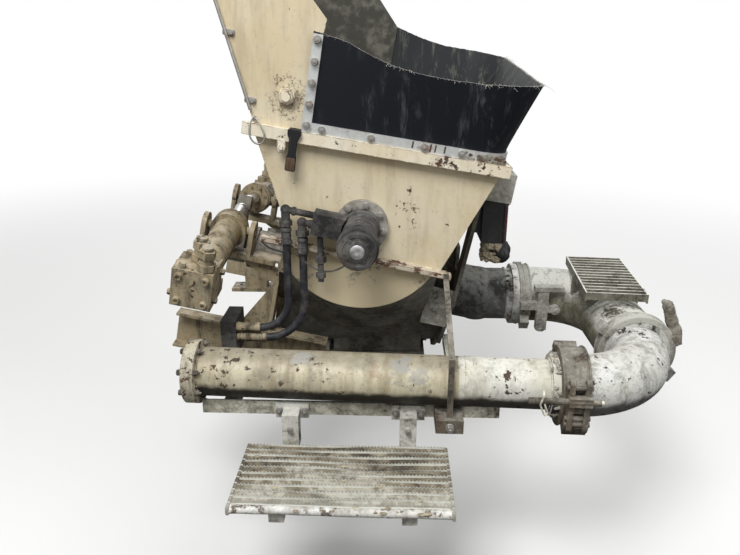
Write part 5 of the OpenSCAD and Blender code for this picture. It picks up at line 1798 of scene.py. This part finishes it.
@dataclass
class ValveTrim:
    """Bolts on the front plate and the long bearing, and the cap of the crank."""

    axis: float = -0.290
    face: float = -0.220
    bearing_ring: float = 0.082
    cap_ring: float = 0.024

    def build(self, finishes: Finishes) -> None:
        """Makes the bolts of the bearing and of the front plate, and the cap of the crank."""
        ahead = SLOPE.turn(-REAR)
        shell = Shell()
        for z, y in spokes(6, self.bearing_ring):
            shell.bolt(SLOPE.at(self.face - 0.022, -y, self.axis + z), ahead, 0.018)
        for y in (-0.340, 0.340):
            for z in (-0.225, -0.300, -0.375):
                shell.bolt(SLOPE.at(self.face - 0.012, y, z), ahead, 0.020)
        shell.piece("front_bolts", Slot.CAST, finishes.bolt)
        crank = Shell()
        crank.lathe([(-0.001, 0.036), (0.006, 0.036), (0.008, 0.034), (0.008, 0.012), (0.005, 0.010)],
                    SLOPE.at(-0.464, 0.0, self.axis), ahead, 40)
        for z, y in spokes(3, self.cap_ring):
            crank.bolt(SLOPE.at(-0.472, y, self.axis + z), ahead, 0.010)
        crank.piece("crank_cap", Slot.CONCRETE, finishes.clamp, body=Body.VALVE)


@dataclass
class LampTrim:
    """Ribs of the two rear lamps, their frames and the crusted bumper block under the near one."""

    low: Colour = (0.878, -0.300, 0.418)
    high: Colour = (0.945, -0.170, 0.557)
    lens: float = 0.014

    def build(self, finishes: Finishes) -> None:
        """Makes the lens ribs, the rims round them and the block."""
        ribs, rims = Shell(), Shell()
        x, y_low, z_low = self.high[0] + self.lens, *self.low[1:]
        y_high, z_high = self.high[1:]
        for mirror in (1, -1):
            for z in np.arange(z_low + 0.012, z_high - 0.010, 0.0085):
                ends = [np.array((x - 0.0005, mirror * y, z)) for y in (y_low + 0.010, y_high - 0.010)]
                ribs.tube(np.linspace(*ends, 4), 0.0022, 8)
            outline = panel((y_low + 0.003, z_low + 0.003), (y_high - 0.003, z_high - 0.003), 0.014, 5)
            path = np.array([(self.high[0] + 0.004, mirror * y, z) for y, z in outline])
            rims.tube(np.vstack((path, path[:2])), 0.0042, 8)
            for y, z in ((y_low + 0.011, z_high - 0.011), (y_high - 0.011, z_low + 0.011)):
                rims.socket_screw(np.array((x, mirror * y, z)), REAR, 0.004)
        ribs.piece("lens_ribs", Slot.LENS, finishes.lens)
        rims.piece("lamp_rims", Slot.DARK, finishes.lamp_black)
        self.build_block(finishes)

    def build_block(self, finishes: Finishes) -> None:
        """A rounded rubber block on a bracket below the lamp, crusted with mud on its near side."""
        rng = np.random.default_rng(61)
        block = Shell()
        block.lump(np.array((0.938, -0.258, 0.377)), (0.047, 0.043, 0.041), 70, 0.2, 14)
        block.slab(panel((0.888, -0.290), (0.940, -0.215), 0.008, 3),
                   lambda p: np.stack((p[..., 0], p[..., 1], 0.4178 - p[..., 2]), axis=-1), 0.0, 0.014)
        for i in range(120):
            a, r = rng.uniform(0.95 * math.pi, 1.55 * math.pi), rng.uniform(0.80, 1.02)
            x, y = 0.932 + 0.046 * r * math.cos(a), -0.258 + 0.042 * r * math.sin(a)
            at = np.array((x, y, rng.uniform(0.356, 0.414)))
            block.crumb(at, rng, (0.004, 0.010), (1.1, 1.0, 0.9), 700 + i, tag=1)
        block.piece("bumper_block", Slot.RUBBER, finishes.old_rubber, finishes.mud)


@dataclass
class FrameTrim:
    """Bolts of the rail and the step, washers of the feet, and weld beads along the hopper."""

    rail_y: float = -0.726
    weld_y: float = 0.4610
    flange: float = 0.086

    def build(self, finishes: Finishes) -> None:
        """Makes each group."""
        shell = Shell()
        for middle in (0.310, 0.640):
            for x in (-0.036, 0.036):
                shell.bolt(np.array((middle + x, self.rail_y - 0.0125, 0.043)), NEAR, 0.016, stud=0.004)
            shell.bolt(np.array((middle, -0.7865, 0.010)), NEAR, 0.014)
        shell.bolt(np.array((0.752, -0.8105, 0.041)), NEAR, 0.020, stud=0.005)
        shell.bolt(np.array((0.730, self.rail_y - 0.0005, 0.052)), NEAR, 0.012)
        shell.piece("rail_bolts", Slot.CAST, finishes.bolt)
        feet = Shell()
        washer = [(0.0, 0.0150), (0.003, 0.0150), (0.0035, 0.0143), (0.0035, 0.0095), (0.0, 0.0092)]
        for y in (-0.380, 0.380):
            for x in (-0.070, 0.070):
                feet.lathe(washer, np.array((x, y, 0.0139)), UP, 28)
        feet.piece("foot_washers", Slot.CAST, finishes.bolt)
        self.build_welds(finishes)

    def build_welds(self, finishes: Finishes) -> None:
        """Beads where the plates meet: under the rim and over the split bar."""
        shell = Shell()
        rng = np.random.default_rng(3)
        for y in (-self.weld_y, self.weld_y):
            x = np.linspace(-0.335, 0.350, 70)
            line = np.column_stack((x, np.full(70, y), np.full(70, 0.2045)))
            shell.tube(RIM.place(line), 0.0030 + 0.0004 * rng.normal(size=70), 6)
            x = np.linspace(-0.205, 0.285, 60)
            line = np.column_stack((x, np.full(60, y), np.full(60, -0.0885)))
            for part in (line[x < -self.flange], line[x > self.flange]):
                shell.tube(SLOPE.place(part), 0.0032, 6)
        shell.piece("hopper_welds", Slot.CREAM, finishes.cream_rough)


@dataclass
class GrateCrust:
    """Dry cement on the grate and on the inside of the hopper."""

    def build(self, finishes: Finishes) -> None:
        """Crumbs on the bars, which lift with the grate, and on the side walls."""
        rng = np.random.default_rng(77)
        grate = Shell()
        for i in range(70):
            bar = rng.integers(1, 12)
            y = -0.432 + bar * 0.072 + rng.uniform(-0.003, 0.003)
            at = RIM.at(rng.uniform(-0.29, 0.31), y, 0.2793)
            grate.crumb(at, rng, (0.003, 0.008), (1.6, 0.8, 0.6), 800 + i)
        grate.piece("grate_crumbs", Slot.CONCRETE, finishes.crust, body=Body.GRATE)
        inside = Shell()
        for i in range(60):
            x, z = rng.uniform(-0.28, 0.30), rng.uniform(-0.05, 0.17)
            far = rng.uniform() < 0.6
            at = SLOPE.at(x, 0.4515 if far else -0.4515, z)
            inside.crumb(at, rng, (0.005, 0.016), (1.2, 0.25, 1.0), 900 + i)
        inside.piece("inside_crust", Slot.CONCRETE, finishes.crust)


@dataclass
class Studio:
    """Floor, lamps, world and camera."""

    floor_size: float = 60.0
    floor_z: float = -0.52
    camera_at: Colour = (0.580, -2.442, 1.039)
    pitch: float = math.radians(19.16)
    yaw: float = math.radians(1.68)
    roll: float = math.radians(-0.27)
    focal_px: float = 682.0
    target: Colour = (0.65, -0.2, 0.4)
    sensor: float = 36.0

    def build(self) -> None:
        """Makes the floor, the world, three lamps and the camera."""
        self.build_floor()
        self.build_world()
        self.build_lamp("key", (-0.5, -3.3, 4.5), 2.4, 245.0)
        self.build_lamp("fill", (4.2, -1.6, 3.6), 3.5, 70.0)
        self.build_lamp("back", (0.5, 4.0, 3.6), 3.5, 80.0)
        self.build_camera()

    def build_floor(self) -> None:
        """A plain pale floor, white to the camera where it is far away."""
        half, z = self.floor_size / 2, self.floor_z
        mesh = bpy.data.meshes.new("floor")
        corners = [(-half, -half, z), (half, -half, z), (half, half, z), (-half, half, z)]
        mesh.from_pydata(corners, [], [(0, 1, 2, 3)])
        floor = bpy.data.objects.new("floor", mesh)
        bpy.context.scene.collection.objects.link(floor)
        g = Graph("pale_floor")
        seen = g.node("ShaderNodeLightPath").outputs["Is Camera Ray"]
        g.colour = g.blend(seen, (0.13, 0.125, 0.12), (0.80, 0.795, 0.78))
        floor.data.materials.append(g.finish(0.9, specular=0.1))
        away = g.vector("LENGTH", g.coords).outputs[1]
        mix = g.node("ShaderNodeMixShader", {
            0: g.times(seen, g.step(away, 1.6, 6.5)),
            1: g.output.inputs["Surface"].links[0].from_socket,
            2: g.node("ShaderNodeEmission").outputs[0],
        })
        g.join(mix.outputs[0], g.output.inputs["Surface"])

    def build_world(self) -> None:
        """Soft grey light, with a white background where it is seen."""
        g = Graph("studio", world=True)
        path = g.node("ShaderNodeLightPath").outputs
        through = g.most(path["Is Glossy Ray"], path["Is Transmission Ray"])
        soft = g.node("ShaderNodeBackground", {"Color": (0.96, 0.98, 1.0), "Strength": 0.50})
        white = g.node("ShaderNodeBackground", {"Color": (1.0, 1.0, 1.0), "Strength": 1.0})
        seen = g.most(path["Is Camera Ray"], through)
        mix = g.node("ShaderNodeMixShader", {0: seen, 1: soft.outputs[0], 2: white.outputs[0]})
        g.join(mix.outputs[0], g.output.inputs["Surface"])
        bpy.context.scene.world = g.owner
        bpy.context.scene.view_settings.view_transform = "Standard"

    def build_lamp(self, name: str, at: Colour, size: float, watts: float) -> None:
        """One square area lamp that points at the middle of the unit.

        Args:
            name: Name of the lamp.
            at: Its place.
            size: Side of its square, in metres.
            watts: Its power.
        """
        light = bpy.data.lights.new(name, "AREA")
        light.size = size
        light.energy = watts
        lamp = bpy.data.objects.new(name, light)
        bpy.context.scene.collection.objects.link(lamp)
        away = np.array(at) - np.array(self.target)
        away /= np.linalg.norm(away)
        side = np.cross(UP, away)
        side /= np.linalg.norm(side)
        up = np.cross(away, side)
        turn = Matrix(np.column_stack((side, up, away)).tolist()).to_4x4()
        lamp.matrix_world = Matrix.Translation(at) @ turn

    def build_camera(self) -> None:
        """The camera where the photograph was taken from."""
        data = bpy.data.cameras.new("photo_view")
        data.sensor_width = self.sensor
        data.sensor_fit = "HORIZONTAL"
        data.lens = self.focal_px * self.sensor / IMAGE_W
        data.clip_end = 200.0
        camera = bpy.data.objects.new("photo_view", data)
        bpy.context.scene.collection.objects.link(camera)
        turn = (
            Matrix.Rotation(self.yaw, 4, "Z")
            @ Matrix.Rotation(math.pi / 2 - self.pitch, 4, "X")
            @ Matrix.Rotation(-self.roll, 4, "Z")
        )
        camera.matrix_world = Matrix.Translation(self.camera_at) @ turn
        bpy.context.scene.camera = camera


def main() -> None:
    """Loads the frame, then builds the studio, the finishes and each sub-assembly."""
    logging.basicConfig(level=logging.INFO, format="%(message)s")
    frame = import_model()
    Studio().build()
    finishes = Finishes()
    dress_nodes(frame["nodes"], finishes)
    HoseSet().build(finishes)
    SplashGuard().build(finishes)
    HoodTrim().build(finishes)
    SideStep().build(finishes)
    DeliveryLine().build(finishes)
    MotorTrim().build(finishes)
    ShiftTrim(-1, Body.NEAR_CYLINDER).build(finishes)
    ShiftTrim(1, Body.FAR_CYLINDER).build(finishes)
    ValveTrim().build(finishes)
    LampTrim().build(finishes)
    FrameTrim().build(finishes)
    GrateCrust().build(finishes)


if __name__ == "__main__":
    main()
